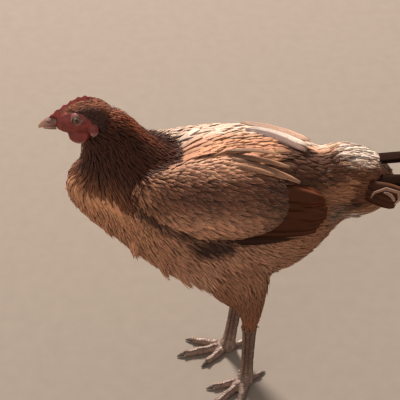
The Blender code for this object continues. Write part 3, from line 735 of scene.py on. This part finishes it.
def along_skin(roots, outs, ways, lengths, lifts):
    """The joints of each shaft and the outward direction at each, kept off the skin by the rising lift."""
    spines = np.repeat(roots[:, None], STEPS + 1, axis=1)
    faces_out = np.repeat(outs[:, None], STEPS + 1, axis=1)
    for i in range(len(roots)):
        here, ahead = Vector(roots[i] + outs[i] * ROOTED), Vector(ways[i])
        spines[i, 0] = here
        for k in range(1, STEPS + 1):
            there = here + ahead * (lengths[i] * (SHAFT[k] - SHAFT[k - 1]))
            near, _, face, _ = lay_tree.find_nearest(there)
            out = Vector(lay_out[face])
            lack = ROOTED + lifts[i] * RISE[k] - (there - near).dot(out)
            there += out * (lack if lack > 0 else lack * PULL)
            ahead = (there - here).normalized()
            spines[i, k] = there
            faces_out[i, k] = out
            here = there
    return spines, unit(faces_out)


def unwrapped(points, axis):
    """Where each root lies on the skin, cut open along a line and laid flat: round the axis and along it."""
    start, end = (np.array(corner) for corner in axis)
    along = unit(end - start)
    first = unit(np.cross(along, (1.0, 0.0, 0.1)))
    second = np.cross(along, first)
    away = points - start
    turn = np.arctan2(away @ first, away @ second) / math.tau + 0.5
    reach = away @ along
    reach = (reach - reach.min()) / max(np.ptp(reach), 1e-9)
    return np.column_stack([turn, reach]) * (1 - 2 * PATCH) + PATCH / 2


def feathers(
    name, spines, outs, half_width, tip, colours, corner,
    patch=(PATCH, PATCH), kind=BROAD, roll=0.10, camber=CAMBER,
):
    """One piece of many vanes. tip is the outline's sharpness: low is round, high is pointed."""
    ring, side, under, quads = kind
    count = len(spines)
    ahead = unit(np.gradient(spines, axis=1))
    across = unit(np.cross(ahead, outs))
    tilt = dice.normal(0, roll, count)[:, None, None]
    across = across * np.cos(tilt) + unit(np.cross(across, ahead)) * np.sin(tilt)
    over = unit(np.cross(across, ahead))
    outline = (SHAFT + 0.05) ** 0.5 * (1.03 - SHAFT) ** tip
    outline /= outline.max()
    width = np.asarray(half_width)[:, None] * outline
    corners = (
        spines[:, ring]
        + across[:, ring] * (width[:, ring] * side)[..., None]
        - over[:, ring] * (width[:, ring] * camber * side**2 + VANE_THICK * under)[..., None]
    )
    every = (quads[None] + np.arange(count)[:, None, None] * len(ring)).reshape(-1, 4)
    mesh = bpy.data.meshes.new(name)
    mesh.vertices.add(count * len(ring))
    mesh.vertices.foreach_set("co", corners.ravel())
    mesh.loops.add(every.size)
    mesh.loops.foreach_set("vertex_index", every.ravel())
    mesh.polygons.add(len(every))
    mesh.polygons.foreach_set("loop_start", np.arange(0, every.size, 4))
    mesh.update(calc_edges=True)
    paint(mesh, "plumage", np.repeat(np.clip(colours, 0.003, 0.9), len(ring), axis=0))
    own = np.column_stack([(side[quads.ravel()] + 1) / 2, SHAFT[ring[quads.ravel()]]])
    mesh.uv_layers.new(name="vane").data.foreach_set("uv", np.tile(own.ravel(), count))
    mesh.uv_layers.new(name="OFBake").data.foreach_set("uv", (corner[:, None] + own * patch).ravel())
    mesh.shade_smooth()
    piece = in_scene(name, mesh)
    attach(piece, "root")
    return piece


FRINGE = (0.50, 0.34, 0.25, 1)  # the colour of worn feather edges


def plumage_finish(
    name, edge, edge_amount, centre, gloss,
    sheen=0.15, streaks=0.30, edge_from=0.45, shine=0.12, fringe=0.0,
):
    """Vane feathers: a paler edge, a darker base, slanted barbs and soft mottling over the bird's colours.

    edge multiplies the colour at the rim and centre at the base. edge_from is where the rim starts.
    """
    finish, add, join = nodes_for(
        name, gloss, Sheen_Weight=sheen, Sheen_Roughness=0.5, Specular_IOR_Level=shine
    )
    colour = add("Attribute", {"attribute_name": "plumage"}).outputs["Color"]
    uv = add("UVMap", {"uv_map": "vane"}).outputs["UV"]
    parts = add("SeparateXYZ", i0=uv).outputs
    out = maths(add, "ABSOLUTE", maths(add, "SUBTRACT", parts["X"], 0.5))
    to_side = maths(add, "MULTIPLY", maths(add, "MULTIPLY", out, out), 4.0)
    rim = maths(add, "ADD", to_side, maths(add, "POWER", parts["Y"], 5.0))
    rim = span(add, rim, (edge_from, 1.05), (0.0, 1.0), interpolation_type="SMOOTHSTEP")
    lines = add("CombineXYZ", X=maths(add, "MULTIPLY_ADD", out, -0.8, parts["Y"]), Y=0.0, Z=0.0).outputs[0]
    barbs = add("TexNoise", Vector=lines, Scale=55.0, Detail=2.0).outputs["Fac"]
    place = add("TexCoord").outputs["Object"]
    mottling = add("TexNoise", Vector=place, Scale=420.0, Detail=3.0).outputs["Fac"]
    wisps = maths(add, "ADD", barbs, mottling)
    root = span(add, parts["Y"], (0.15, 0.75), (centre, 1.0))
    grain = span(add, wisps, (0.7, 1.3), (1 - streaks, 1 + streaks))
    dark = times(add, colour, maths(add, "MULTIPLY", root, grain))
    light = times(add, colour, (*edge, 1))
    light = add("MixRGB", Fac=fringe, Color1=light, Color2=FRINGE).outputs["Color"]
    share = maths(add, "MULTIPLY", rim, edge_amount)
    join(add("MixRGB", Fac=share, Color1=dark, Color2=light).outputs["Color"], "Base Color")
    roughen(add, join, barbs, 0.4, 0.0003)
    return finish


def coat(
    name, chosen, spacing, size, lift, tip, kind_of_body, finish, slot, seed, axis,
    stray=0.10, tints=0.10, **shape,
):
    """Covers the chosen part of the skin with feathers. spacing, size and lift are read at each root."""
    roots, outs = scattered(chosen, spacing, seed)
    draw = np.random.default_rng(seed + 1000)
    count = len(roots)
    ways = lie_at(roots, outs)
    ways = unit(ways + np.cross(outs, ways) * draw.normal(0, stray, count)[:, None])
    lengths, widths = size(roots)
    lengths = lengths * draw.uniform(0.86, 1.12, count)
    lifts = lift(roots) * draw.uniform(0.85, 1.08, count)
    spines, faces_out = along_skin(roots, outs, ways, lengths, lifts)
    tint = draw.normal(1.0, tints, count)[:, None] * (1 + draw.normal(0, 0.025, (count, 3)))
    colours = markings(roots, np.full(count, KINDS.index(kind_of_body))) * tint
    piece = feathers(name, spines, faces_out, widths, tip, colours, unwrapped(roots, axis), **shape)
    piece.data.materials.append(finish)


def of_kind(kind):
    """The skin's faces on the pieces of that kind."""
    return lay_face_kinds == KINDS.index(kind)


def constant(value):
    """The same size at each point."""
    return lambda points: np.full(len(points), value)


def from_to(start, end, share):
    """A size that goes from start to end as share, read at each point, goes from 0 to 1."""
    return lambda points: start + (end - start) * share(points)


def both(length, width):
    """The length and the half width of each feather."""
    return lambda points: (length(points), width(points))


face_bare = bare_face_at(lay_middles, lay_face_kinds)
face_back, face_up, face_out = shares(lay_middles)
neck_axis = (middle_of("head"), middle_of("neck") - Vector((0, 0, 0.05)))
body_axis = (Vector((middle.x, low[1], 0.21)), Vector((middle.x, high[1], 0.23)))

# Head feathers. The shortest on the bird, fine as hair, they run from the brow over the crown and down behind
# the ear, and leave the comb's root bare.
COMB_HALF, COMB_TAIL = 0.0028, 0.006  # half the root's width, and how much of its rear end the feathers cover
short_feather = plumage_finish("short_feather", (1.4, 1.25, 1.2), 0.5, 0.75, 0.6)
comb_root = np.abs(lay_middles[:, 0] - middle_of("comb").x) < COMB_HALF
comb_root &= lay_middles[:, 1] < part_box("comb")[1].y - COMB_TAIL
head_coat = of_kind("head") & (face_bare < 0.5) & ~comb_root


def crown_share(points):
    """1 on the back of the crown, where the feathers stand up a little."""
    back, up, _ = shares(points)
    return smooth_step(0.11, 0.15, back) * smooth_step(0.93, 0.97, up)


coat(
    "head_feathers", head_coat, constant(0.00085),
    both(from_to(0.0052, 0.0066, crown_share), constant(0.0006)), from_to(0.0012, 0.0021, crown_share),
    0.9, "head", short_feather, "feather_mahogany", 11, body_axis, 0.16, 0.18, kind=NARROW,
)


# Neck hackle. Long pointed dark feathers hang from the nape and throat as a cape over the shoulders.
hackle = plumage_finish("hackle", (1.9, 1.5, 1.3), 0.5, 0.7, 0.42, 0.05)


def hackle_share(points):
    """0 at the top of the neck, 1 at the tips of the cape, which reach less far down in front."""
    back, up, _ = shares(points)
    cape = (0.40 + 0.60 * smooth_step(0.08, 0.20, back)) * (1 - 0.7 * smooth_step(0.22, 0.30, back))
    return smooth_step(0.95, 0.74, up) * cape


coat(
    "neck_hackle", of_kind("neck"), from_to(0.0015, 0.0027, hackle_share),
    both(from_to(0.0085, 0.028, hackle_share), from_to(0.0010, 0.0018, hackle_share)),
    from_to(0.0042, 0.0040, hackle_share), 1.1, "neck", hackle, "feather_mahogany", 12, neck_axis, 0.10, 0.16,
    kind=NARROW,
)

# Breast and belly. Soft loose buff feathers cover the whole underside and part into hair-like tufts, which
# are raggedest along the lower breast.
body_feather = plumage_finish("body_feather", (1.25, 1.22, 1.18), 0.5, 0.85, 0.7, 0.08, 0.2)
is_back = of_kind("trunk") & (face_up > 0.70) & (lay_out[:, 2] > 0.25)
under_back = of_kind("trunk") & ~is_back
LOOSE = 0.0016  # how far off the rest of the coat the longest of these feathers stray


def loose(depth):
    """The lift of the under coat: its depth, and a little more for a few of its feathers."""
    def lift(points):
        return depth + LOOSE * np.random.default_rng(5).uniform(0.0, 1.0, len(points)) ** 3
    return lift


def breast_share(points):
    """0 at the front of the breast, 1 where its longest feathers grow."""
    return smooth_step(0.1, 0.35, shares(points)[0])


for side, sign in SIDES.items():
    half = (lay_middles[:, 0] - middle.x) * sign > 0
    coat(
        f"breast_feathers_{side}", under_back & half & (face_back < 0.36), constant(0.0018),
        both(from_to(0.014, 0.021, breast_share), constant(0.0016)), loose(0.0050), 0.8, "trunk",
        body_feather, "feather_tan", 30 + sign, body_axis, 0.14, 0.10, kind=NARROW, camber=0.2,
    )
    coat(
        f"belly_feathers_{side}", under_back & half & (face_back >= 0.36), constant(0.0020),
        both(constant(0.022), constant(0.0020)), loose(0.0050), 0.7, "trunk",
        body_feather, "feather_tan", 40 + sign, body_axis, 0.13, 0.09, kind=NARROW, camber=0.2,
    )

# Breast tufts. Locks of long loose feathers are rooted along the lower breast and hang clear of it, each
# drawn to a point.
LOCKS = [  # where each is rooted, where it ends, how wide its root is and how many feathers it has
    ((0.0315, -0.1551, 0.2480), (0.0345, -0.1472, 0.2302), 0.006, 40),
    ((0.0399, -0.1406, 0.2327), (0.0400, -0.1296, 0.2130), 0.006, 36),
    ((0.0510, -0.1116, 0.2200), (0.0465, -0.1071, 0.1909), 0.008, 60),
    ((0.0526, -0.0888, 0.1919), (0.0450, -0.0756, 0.1610), 0.009, 60),
    ((0.0527, -0.0742, 0.1785), (0.0435, -0.0535, 0.1482), 0.010, 70),
    ((0.0545, -0.0647, 0.1775), (0.0435, -0.0404, 0.1436), 0.010, 80),
]


def locks(mirror, seed):
    """The shafts of every lock on one side, rooted on the skin, and the outward direction at each joint."""
    draw = np.random.default_rng(seed)
    spines, faces_out = [], []
    for root, end, wide, count in LOCKS:
        for start in np.array(root) + draw.normal(0, wide / 2, (count, 3)):
            near, _, face, _ = lay_tree.find_nearest(Vector(start * (mirror, 1, 1)))
            near, out = np.array(near), lay_out[face]
            tip = (np.array(end) + draw.normal(0, 0.0014, 3)) * (mirror, 1, 1)
            tip = near + (tip - near) * draw.uniform(0.80, 1.15)
            bend = (near + tip) / 2 + out * 0.0060
            share = SHAFT[:, None]
            spines.append(near * (1 - share) ** 2 + bend * 2 * share * (1 - share) + tip * share**2)
            faces_out.append(np.repeat(out[None], STEPS + 1, axis=0))
    return np.array(spines), np.array(faces_out)


for side, sign in SIDES.items():
    spines, faces_out = locks(sign, 26 + sign)
    count = len(spines)
    tint = np.random.default_rng(27).normal(1.15, 0.15, count)[:, None]
    colours = markings(spines[:, 0], np.full(count, KINDS.index("trunk"))) * tint
    tufts = feathers(
        f"breast_tufts_{side}", spines, faces_out, np.full(count, 0.0010), 1.0, colours,
        unwrapped(spines[:, 0], body_axis), kind=NARROW, camber=0.3,
    )
    tufts.data.materials.append(body_feather)

# Back and saddle. Broad lax feathers with pale edges lie straight back between the wings to the tail.
back_feather = plumage_finish("back_feather", (1.35, 1.25, 1.15), 0.6, 0.7, 0.6, 0.04)


def hump_share(points):
    """1 between the shoulders, where the coat of the back is thickest."""
    return spot(*shares(points)[:2], 0.40, 0.82, 0.12, 0.06)


coat(
    "back_feathers", is_back, constant(0.0030), both(constant(0.034), constant(0.0034)),
    from_to(0.0044, 0.0084, hump_share), 0.7, "trunk", back_feather, "feather_tan", 15, body_axis, 0.10, 0.12,
    camber=0.10,
)

# Thighs and wing coverts. Fine buff tufts clothe each thigh down to the hock, and flat rounded feathers edged
# with pale buff lie in rows over the closed wing's upper half.
covert = plumage_finish("wing_covert", (2.65, 2.45, 2.3), 0.9, 0.34, 0.55, 0.06, edge_from=0.62, fringe=0.3)


def thigh_share(points):
    """0 at the hock, 1 at the top of the thigh."""
    return smooth_step(0.26, 0.45, shares(points)[1])


def wing_share(points):
    """0 at the wing's shoulder, 1 where the coverts meet the flight feathers."""
    return smooth_step(0.22, 0.6, shares(points)[0])


def ridge_share(points):
    """1 along the closed wing's upper edge, where its feathers stand up over the back's."""
    return smooth_step(0.80, 0.84, shares(points)[1])


for side, sign in SIDES.items():
    half = (lay_middles[:, 0] - middle.x) * sign > 0
    leg = middle_of(f"drumstick_{side}")
    coat(
        f"thigh_feathers_{side}", of_kind("drumstick") & half, from_to(0.0015, 0.0023, thigh_share),
        both(from_to(0.009, 0.020, thigh_share), from_to(0.0009, 0.0015, thigh_share)),
        from_to(0.0016, 0.0034, thigh_share), 0.9, "drumstick", body_feather, "feather_tan", 16 + sign,
        (leg + Vector((0, 0, 0.05)), leg - Vector((0, 0, 0.05))), 0.14, 0.13, kind=NARROW, camber=0.3,
    )
    wing = middle_of(f"wing_coverts_{side}")
    coat(
        f"wing_covert_feathers_{side}", of_kind("wing") & half, from_to(0.0020, 0.0030, wing_share),
        both(from_to(0.012, 0.026, wing_share), from_to(0.0017, 0.0027, wing_share)),
        from_to(0.0034, 0.0080, ridge_share), 0.85,
        "wing", covert, "feather_wing", 20 + sign, (wing - Vector((0, 0.08, 0)), wing + Vector((0, 0.08, 0))),
        0.09, 0.20, camber=0.10,
    )

# Tail coverts. Long lax feathers clothe the rump and the roots of the tail, above and below.
coat(
    "tail_covert_feathers", of_kind("tail"), constant(0.0021), both(constant(0.032), constant(0.0017)),
    constant(0.0048), 0.8, "tail", back_feather, "feather_tan", 24, body_axis, 0.14, 0.15, kind=NARROW,
)
bpy.data.objects.remove(lay)


def quills(name, rows, count, sizes, bow, tip, colour, finish, slot, seed, mirror=1, tints=0.06, **shape):
    """A fan of long feathers between the rows, each row a root, a tip and a facing in metres, on one side."""
    draw = np.random.default_rng(seed)
    place = np.linspace(0, len(rows) - 1, count)
    keys = np.array(rows, float)  # row, (root, tip, facing), xyz
    spread = [np.interp(place, np.arange(len(rows)), column) for column in keys.reshape(len(rows), 9).T]
    roots, tips, outs = np.column_stack(spread).reshape(count, 3, 3).transpose(1, 0, 2)
    roots, tips = (points + draw.normal(0, 0.0006, points.shape) for points in (roots, tips))
    outs = unit(outs + draw.normal(0, 0.03, outs.shape))
    arch = (4 * SHAFT * (1 - SHAFT))[None, :, None] * outs[:, None] * bow
    spines = roots[:, None] + (tips - roots)[:, None] * SHAFT[None, :, None] + arch
    spines, outs = spines * (mirror, 1, 1), outs * (mirror, 1, 1)
    widths = np.interp(place, np.linspace(0, len(rows) - 1, len(sizes)), sizes)
    colours = np.broadcast_to(colour, (count, 3)) * draw.normal(1.0, tints, count)[:, None]
    corner = np.column_stack([np.arange(count) / count, np.zeros(count)])
    faces_out = np.repeat(outs[:, None], STEPS + 1, axis=1)
    piece = feathers(
        name, spines, faces_out, widths, tip, colours, corner, patch=(0.96 / count, 0.98), roll=0.03, **shape
    )
    piece.data.materials.append(finish)
    return piece


# Flight feathers. Smooth dark secondaries stacked like a closed fan under the coverts' ends, the upper ones
# outermost, with the blackish primaries just showing beneath them along the wing's lower edge.
flight = plumage_finish("flight_feather", (2.2, 1.9, 1.7), 0.6, 0.85, 0.55, 0.0, 0.15, 0.8, 0.06)
FLIGHTS = [  # root, tip and facing on the left wing, from the upper row to the lower
    ((0.0287, -0.0091, 0.2790), (0.0388, 0.0547, 0.2599), (0.55, 0.10, 0.80)),
    ((0.0417, -0.0110, 0.2680), (0.0470, 0.0764, 0.2478), (0.75, 0.10, 0.62)),
    ((0.0536, -0.0174, 0.2512), (0.0530, 0.0815, 0.2350), (0.92, 0.12, 0.36)),
    ((0.0626, -0.0270, 0.2298), (0.0566, 0.0700, 0.2178), (0.99, 0.10, 0.08)),
]
PRIMARIES = [
    ((0.0645, -0.0300, 0.2180), (0.0600, 0.0480, 0.2105), (0.98, 0.05, -0.10)),
    ((0.0640, -0.0300, 0.2150), (0.0600, 0.0380, 0.2085), (0.95, 0.05, -0.25)),
]
for side, sign in SIDES.items():
    wing = quills(
        f"flight_feathers_{side}", FLIGHTS, 12, (0.0080, 0.0088, 0.0086), 0.0040, 0.40,
        (0.070, 0.0225, 0.0105), flight, "feather_wing", 51 + sign, sign, camber=0.10,
    )
    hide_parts(f"wing_flights_{side}")
    quills(
        f"primary_feathers_{side}", PRIMARIES, 3, (0.0030, 0.0028), 0.0020, 0.6,
        (0.040, 0.017, 0.010), flight, "feather_wing", 61 + sign, sign, camber=0.10,
    )


# Tertials. Long pale feathers on the inner edge of each closed wing, next to the back: five on the left wing,
# and three on the right one, which lie across to the root of the tail.
tertial = plumage_finish("tertial", (1.9, 1.8, 1.7), 0.85, 0.6, 0.5, 0.1, 0.25, 0.50)
TERTIALS = {  # root, tip and facing, both wings' given as on the left
    "left": [
        ((0.0210, -0.0160, 0.2915), (0.0290, 0.0346, 0.2890), (0.25, 0.15, 0.95)),
        ((0.0290, -0.0120, 0.2885), (0.0420, 0.0540, 0.2650), (0.50, 0.15, 0.85)),
        ((0.0340, -0.0150, 0.2850), (0.0430, 0.0292, 0.2745), (0.60, 0.15, 0.78)),
    ],
    "right": [
        ((0.0330, 0.0060, 0.2890), (0.0040, 0.0700, 0.2815), (-0.10, 0.25, 0.97)),
        ((0.0250, 0.0060, 0.2905), (-0.0030, 0.0670, 0.2812), (-0.20, 0.25, 0.95)),
        ((0.0160, 0.0080, 0.2915), (-0.0095, 0.0640, 0.2800), (-0.30, 0.25, 0.92)),
    ],
}
TERTIAL_COUNT = {"left": 5, "right": 3}
TERTIAL_WIDE = {"left": (0.0026, 0.0036, 0.0026), "right": (0.0056, 0.0046, 0.0052)}
TERTIAL_COLOUR = {
    "left": (0.26, 0.125, 0.070),
    "right": [(0.45, 0.26, 0.180), (0.72, 0.58, 0.48), (0.25, 0.150, 0.120)],
}
for side, sign in SIDES.items():
    quills(
        f"tertials_{side}", TERTIALS[side], TERTIAL_COUNT[side], TERTIAL_WIDE[side], 0.0035, 0.40,
        TERTIAL_COLOUR[side], tertial, "feather_wing", 71 + sign, sign, 0.10, camber=0.14,
    )


# Tail. Black quills are rooted under the coverts: two pairs lie flat on top, and the rest hang lower at each
# side, where a gap parts them from the top ones.
tail_quill = plumage_finish("tail_quill", (1.5, 1.4, 1.3), 0.3, 0.9, 0.75, 0.0, 0.15, 0.8, 0.02)
BLACK = (0.020, 0.008, 0.005)
FAN_COUNT = {"left": 3, "right": 4}
TAIL_TOP = [
    ((0.0020, 0.0858, 0.2585), (0.0012, 0.1948, 0.2620), (0.03, 0.0, 1.0)),
    ((0.0030, 0.0858, 0.2575), (0.0030, 0.1940, 0.2612), (0.10, 0.0, 1.0)),
]
TAIL_FAN = {
    "left": [
        ((0.0190, 0.0858, 0.2450), (0.0245, 0.1900, 0.2462), (0.55, 0.0, 0.83)),
        ((0.0200, 0.0858, 0.2400), (0.0262, 0.1830, 0.2428), (0.70, 0.0, 0.70)),
    ],
    "right": [
        ((0.0120, 0.0858, 0.2420), (0.0150, 0.1930, 0.2450), (0.40, 0.0, 0.90)),
        ((0.0190, 0.0858, 0.2390), (0.0230, 0.1860, 0.2415), (0.60, 0.0, 0.80)),
        ((0.0210, 0.0858, 0.2350), (0.0270, 0.1780, 0.2375), (0.80, 0.0, 0.60)),
    ],
}
for side, sign in SIDES.items():
    top = quills(
        f"tail_middle_{side}", TAIL_TOP, 2, (0.0068, 0.0062), 0.0, 0.30, BLACK, tail_quill,
        "feather_black", 81 + sign, sign, camber=0.10,
    )
    fan = quills(
        f"tail_fan_{side}", TAIL_FAN[side], FAN_COUNT[side], (0.0062, 0.0060), 0.002, 0.35, BLACK, tail_quill,
        "feather_black", 91 + sign, sign, camber=0.10,
    )
    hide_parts(f"tail_feathers_{side}")
    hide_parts(f"tail_feathers_{side}")


# Sickle coverts. Rounded brown feathers with pale rims curl out and down over the tail's lower edge, with two
# narrow pale ones bent round over them.
curled = plumage_finish("curled_covert", (1.8, 1.9, 2.0), 0.7, 0.7, 0.55, 0.0, 0.2, 0.50, 0.05)
SICKLES = [  # the arc of each: its centre, half its length and height, and the degrees that it runs between
    ((0.0385, 0.1405, 0.2370), 0.0150, 0.0110, 175, -50), ((0.0390, 0.1340, 0.2300), 0.0160, 0.0145, 75, 10),
]
CURLED = [  # root, tip and facing on the left
    ((0.0240, 0.1210, 0.2455), (0.0335, 0.1580, 0.2380), (0.85, 0.05, 0.52)),
    ((0.0250, 0.1170, 0.2370), (0.0340, 0.1530, 0.2270), (0.92, 0.00, 0.40)),
]
TUCKED = {"left": (0.0, 0.0, 0.0), "right": (0.012, 0.0, 0.010)}  # the right side's lie closer in
SICKLE_HALF, SICKLE_COLOUR = 0.0017, (0.36, 0.20, 0.14)
for side, sign in SIDES.items():
    tuck = np.array(TUCKED[side])
    rows = [(tuple(root - tuck), tuple(tip - tuck), facing) for root, tip, facing in CURLED]
    quills(
        f"curled_coverts_{side}", rows, 3, (0.0072, 0.0072), 0.0050, 0.22, (0.080, 0.029, 0.015), curled,
        "feather_tan", 101 + sign, sign, 0.10, camber=0.22,
    )
    count = len(SICKLES)
    spines = np.array([
        [
            (sign * centre[0], centre[1] + long * math.cos(turn), centre[2] + high * math.sin(turn))
            for turn in np.radians(start + (end - start) * SHAFT)
        ]
        for centre, long, high, start, end in [(row[0] - tuck, *row[1:]) for row in SICKLES]
    ])
    sickles = feathers(
        f"sickle_feathers_{side}", spines, np.tile(unit(np.array((sign, 0.0, 0.35))), (count, STEPS + 1, 1)),
        np.full(count, SICKLE_HALF), 0.4, np.tile(SICKLE_COLOUR, (count, 1)),
        np.column_stack([np.arange(count) / count, np.zeros(count)]), patch=(0.96 / count, 0.98), roll=0.0,
    )
    sickles.data.materials.append(curled)


# Leg scales. Overlapping horny scutes over the skin of the shanks, two rows down the front and smaller ones
# round the sides and back, and one row of narrow plates along the top of each toe.
SCUTE_STEP, TOE_STEP = 0.0034, 0.0026
SHANK_ROWS = [  # degrees round the shank from its front, and half the scales' width
    (-28, 0.0031), (28, 0.0031), (-78, 0.0022), (78, 0.0022), (-130, 0.0024), (130, 0.0024), (180, 0.0024),
]
TOE_ROWS = [(0, 0.0029)]
OVERLAP = 1.35  # a scale's length over the step from one to the next
SCALE_ROOT, SCALE_RISE = 0.0002, 0.00045  # how far its root is off the skin, and how much more its edge
SEEK = 0.02  # how far off the skin a scale's place is looked for
HOCK_IN, HOCK_UP = 0.0087, 0.004  # the shank's axis at the hock, from the pieces' rear and lower ends
BALL_IN, BALL_UP = 0.0084, 0.009  # and at the ball of the foot, from its front end and the floor
TOE_START, TOE_DROP = 0.006, 0.004  # how far from the ball of the foot, and below it, a toe's row starts
TOE_END, TOE_HIGH = 0.004, 0.004  # how far short of the claw it ends, and at what height

scale_horn, add, join = nodes_for("leg_scale", 0.45, Specular_IOR_Level=0.4)
colour = add("Attribute", {"attribute_name": "plumage"}).outputs["Color"]
along = add("SeparateXYZ", i0=add("UVMap", {"uv_map": "vane"}).outputs["UV"]).outputs["Y"]
place = add("TexCoord").outputs["Object"]
dust = add("TexNoise", Vector=place, Scale=500.0, Detail=3.0).outputs["Fac"]
worn = span(add, dust, (0.3, 0.7), (0.75, 1.3))
edge = span(add, along, (0.5, 1.0), (0.85, 1.5))
join(times(add, colour, maths(add, "MULTIPLY", worn, edge)), "Base Color")
skin_tree = surface_tree(rows_of(skin.data), skin.data)


def scutes(start, end, front, step, rows):
    """Roots, outward directions, ways, lengths and half widths of scales down a limb from start to end."""
    found = []
    way = (end - start).normalized()
    front = (front - way * front.dot(way)).normalized()
    count = max(2, round((end - start).length / step))
    for turn, half in rows:
        outward = Matrix.Rotation(math.radians(turn), 3, way) @ front
        for i in range(count):
            offset = 0.5 if turn < 0 else 0.0
            middle_line = start.lerp(end, min((i + offset) / count, 1.0))
            hit, normal, _, _ = skin_tree.ray_cast(middle_line + outward * SEEK, -outward, SEEK)
            if hit is None:
                continue
            ahead = (way - normal * way.dot(normal)).normalized()
            found.append((hit, normal, ahead, step * OVERLAP, half))
    return found


for side, sign in SIDES.items():
    low_corner, high_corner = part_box(f"shank_{side}")
    across = (low_corner.x + high_corner.x) / 2
    top = Vector((across, high_corner.y - HOCK_IN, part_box(f"drumstick_{side}")[0].z + HOCK_UP))
    ball = Vector((across, low_corner.y + BALL_IN, BALL_UP))
    found = scutes(top, ball, Vector((0, -1, 0)), SCUTE_STEP, SHANK_ROWS)
    for toe in ("inner", "middle", "outer", "hind"):
        claw = middle_of(f"claw_{toe}_{side}")
        ahead = Vector((claw.x - ball.x, claw.y - ball.y, 0)).normalized()
        start = ball + ahead * TOE_START - Vector((0, 0, TOE_DROP))
        end = Vector((claw.x, claw.y, TOE_HIGH)) - ahead * TOE_END
        found += scutes(start, end, Vector((0, 0, 1)), TOE_STEP, TOE_ROWS)
    roots, outs, ways, lengths, halves = (np.array([row[i] for row in found], float) for i in range(5))
    rise = SCALE_ROOT + SCALE_RISE * SHAFT
    spines = roots[:, None] + ways[:, None] * (lengths[:, None] * SHAFT)[..., None]
    spines = spines + outs[:, None] * rise[:, None]
    colours = markings(roots, np.full(len(roots), KINDS.index("shank")))
    colours = colours * np.random.default_rng(9).normal(1.0, 0.12, len(roots))[:, None]
    corner = np.column_stack([np.arange(len(roots)) % 24 / 24, np.arange(len(roots)) // 24 / 24])
    faces_out = np.repeat(outs[:, None], STEPS + 1, axis=1)
    scales = feathers(
        f"leg_scales_{side}", spines, faces_out, halves, 0.22, colours, corner,
        patch=(0.04, 0.04), roll=0.0, camber=0.32,
    )
    scales.data.materials.append(scale_horn)


# Floor, light and camera. A plain pale floor, one large soft lamp high on the bird's right, a dim one on its
# left, and a pale room that lights the shadows.
FLOOR_SIZE, FLOOR_DROP = 6.0, 0.0002
FLOOR_DARK, FLOOR_PALE = (0.235, 0.188, 0.154, 1), (0.268, 0.217, 0.178, 1)
WARM, ROOM_LIGHT = (1.0, 0.97, 0.94), 0.42
AIM = Vector((middle.x, middle.y - 0.039, 0.221))
CAMERA_TURN, CAMERA_RISE = math.radians(84), math.radians(35)
CAMERA_DISTANCE, FRAME_WIDTH, FILM = 1.6, 0.40, 36.0

sheet = bmesh.new()
bmesh.ops.create_grid(sheet, x_segments=1, y_segments=1, size=FLOOR_SIZE / 2)
bmesh.ops.translate(sheet, vec=(0, 0, -FLOOR_DROP), verts=sheet.verts[:])
floor = placed("floor", sheet)
floor_finish, add, join = nodes_for("pale_floor", 1.0, Specular_IOR_Level=0.05)
grain = add("TexNoise", Vector=add("TexCoord").outputs["Object"], Scale=60.0, Detail=3.0).outputs["Fac"]
join(add("MixRGB", Fac=grain, Color1=FLOOR_DARK, Color2=FLOOR_PALE).outputs["Color"], "Base Color")
floor.data.materials.append(floor_finish)


def lamp(name, place, aim, size, power, colour):
    """A round soft lamp at that place, turned to what it lights."""
    light = bpy.data.lights.new(name, "AREA")
    light.shape = "DISK"
    light.size = size
    light.energy = power
    light.color = colour
    obj = in_scene(name, light)
    obj.location = place
    obj.rotation_euler = (aim - place).to_track_quat("-Z", "Y").to_euler()


lamp("key", AIM + Vector((-2.6, -0.4, 2.8)), AIM, 0.75, 285, (1.0, 0.96, 0.90))
lamp("fill", AIM + Vector((1.8, -1.2, 1.3)), AIM, 1.6, 15, WARM)
room = bpy.data.worlds.new("room")
room.use_nodes = True
background = room.node_tree.nodes["Background"]
background.inputs["Color"].default_value = (*WARM, 1)
background.inputs["Strength"].default_value = ROOM_LIGHT
bpy.context.scene.world = room
bpy.context.scene.view_settings.view_transform = "Standard"

lens = bpy.data.cameras.new("camera")
lens.sensor_width = FILM
lens.lens = FILM * CAMERA_DISTANCE / FRAME_WIDTH
camera = in_scene("camera", lens)
away = Vector((
    math.sin(CAMERA_TURN) * math.cos(CAMERA_RISE),
    -math.cos(CAMERA_TURN) * math.cos(CAMERA_RISE),
    math.sin(CAMERA_RISE),
))
camera.location = AIM + away * CAMERA_DISTANCE
camera.rotation_euler = away.to_track_quat("Z", "Y").to_euler()
bpy.context.scene.camera = camera
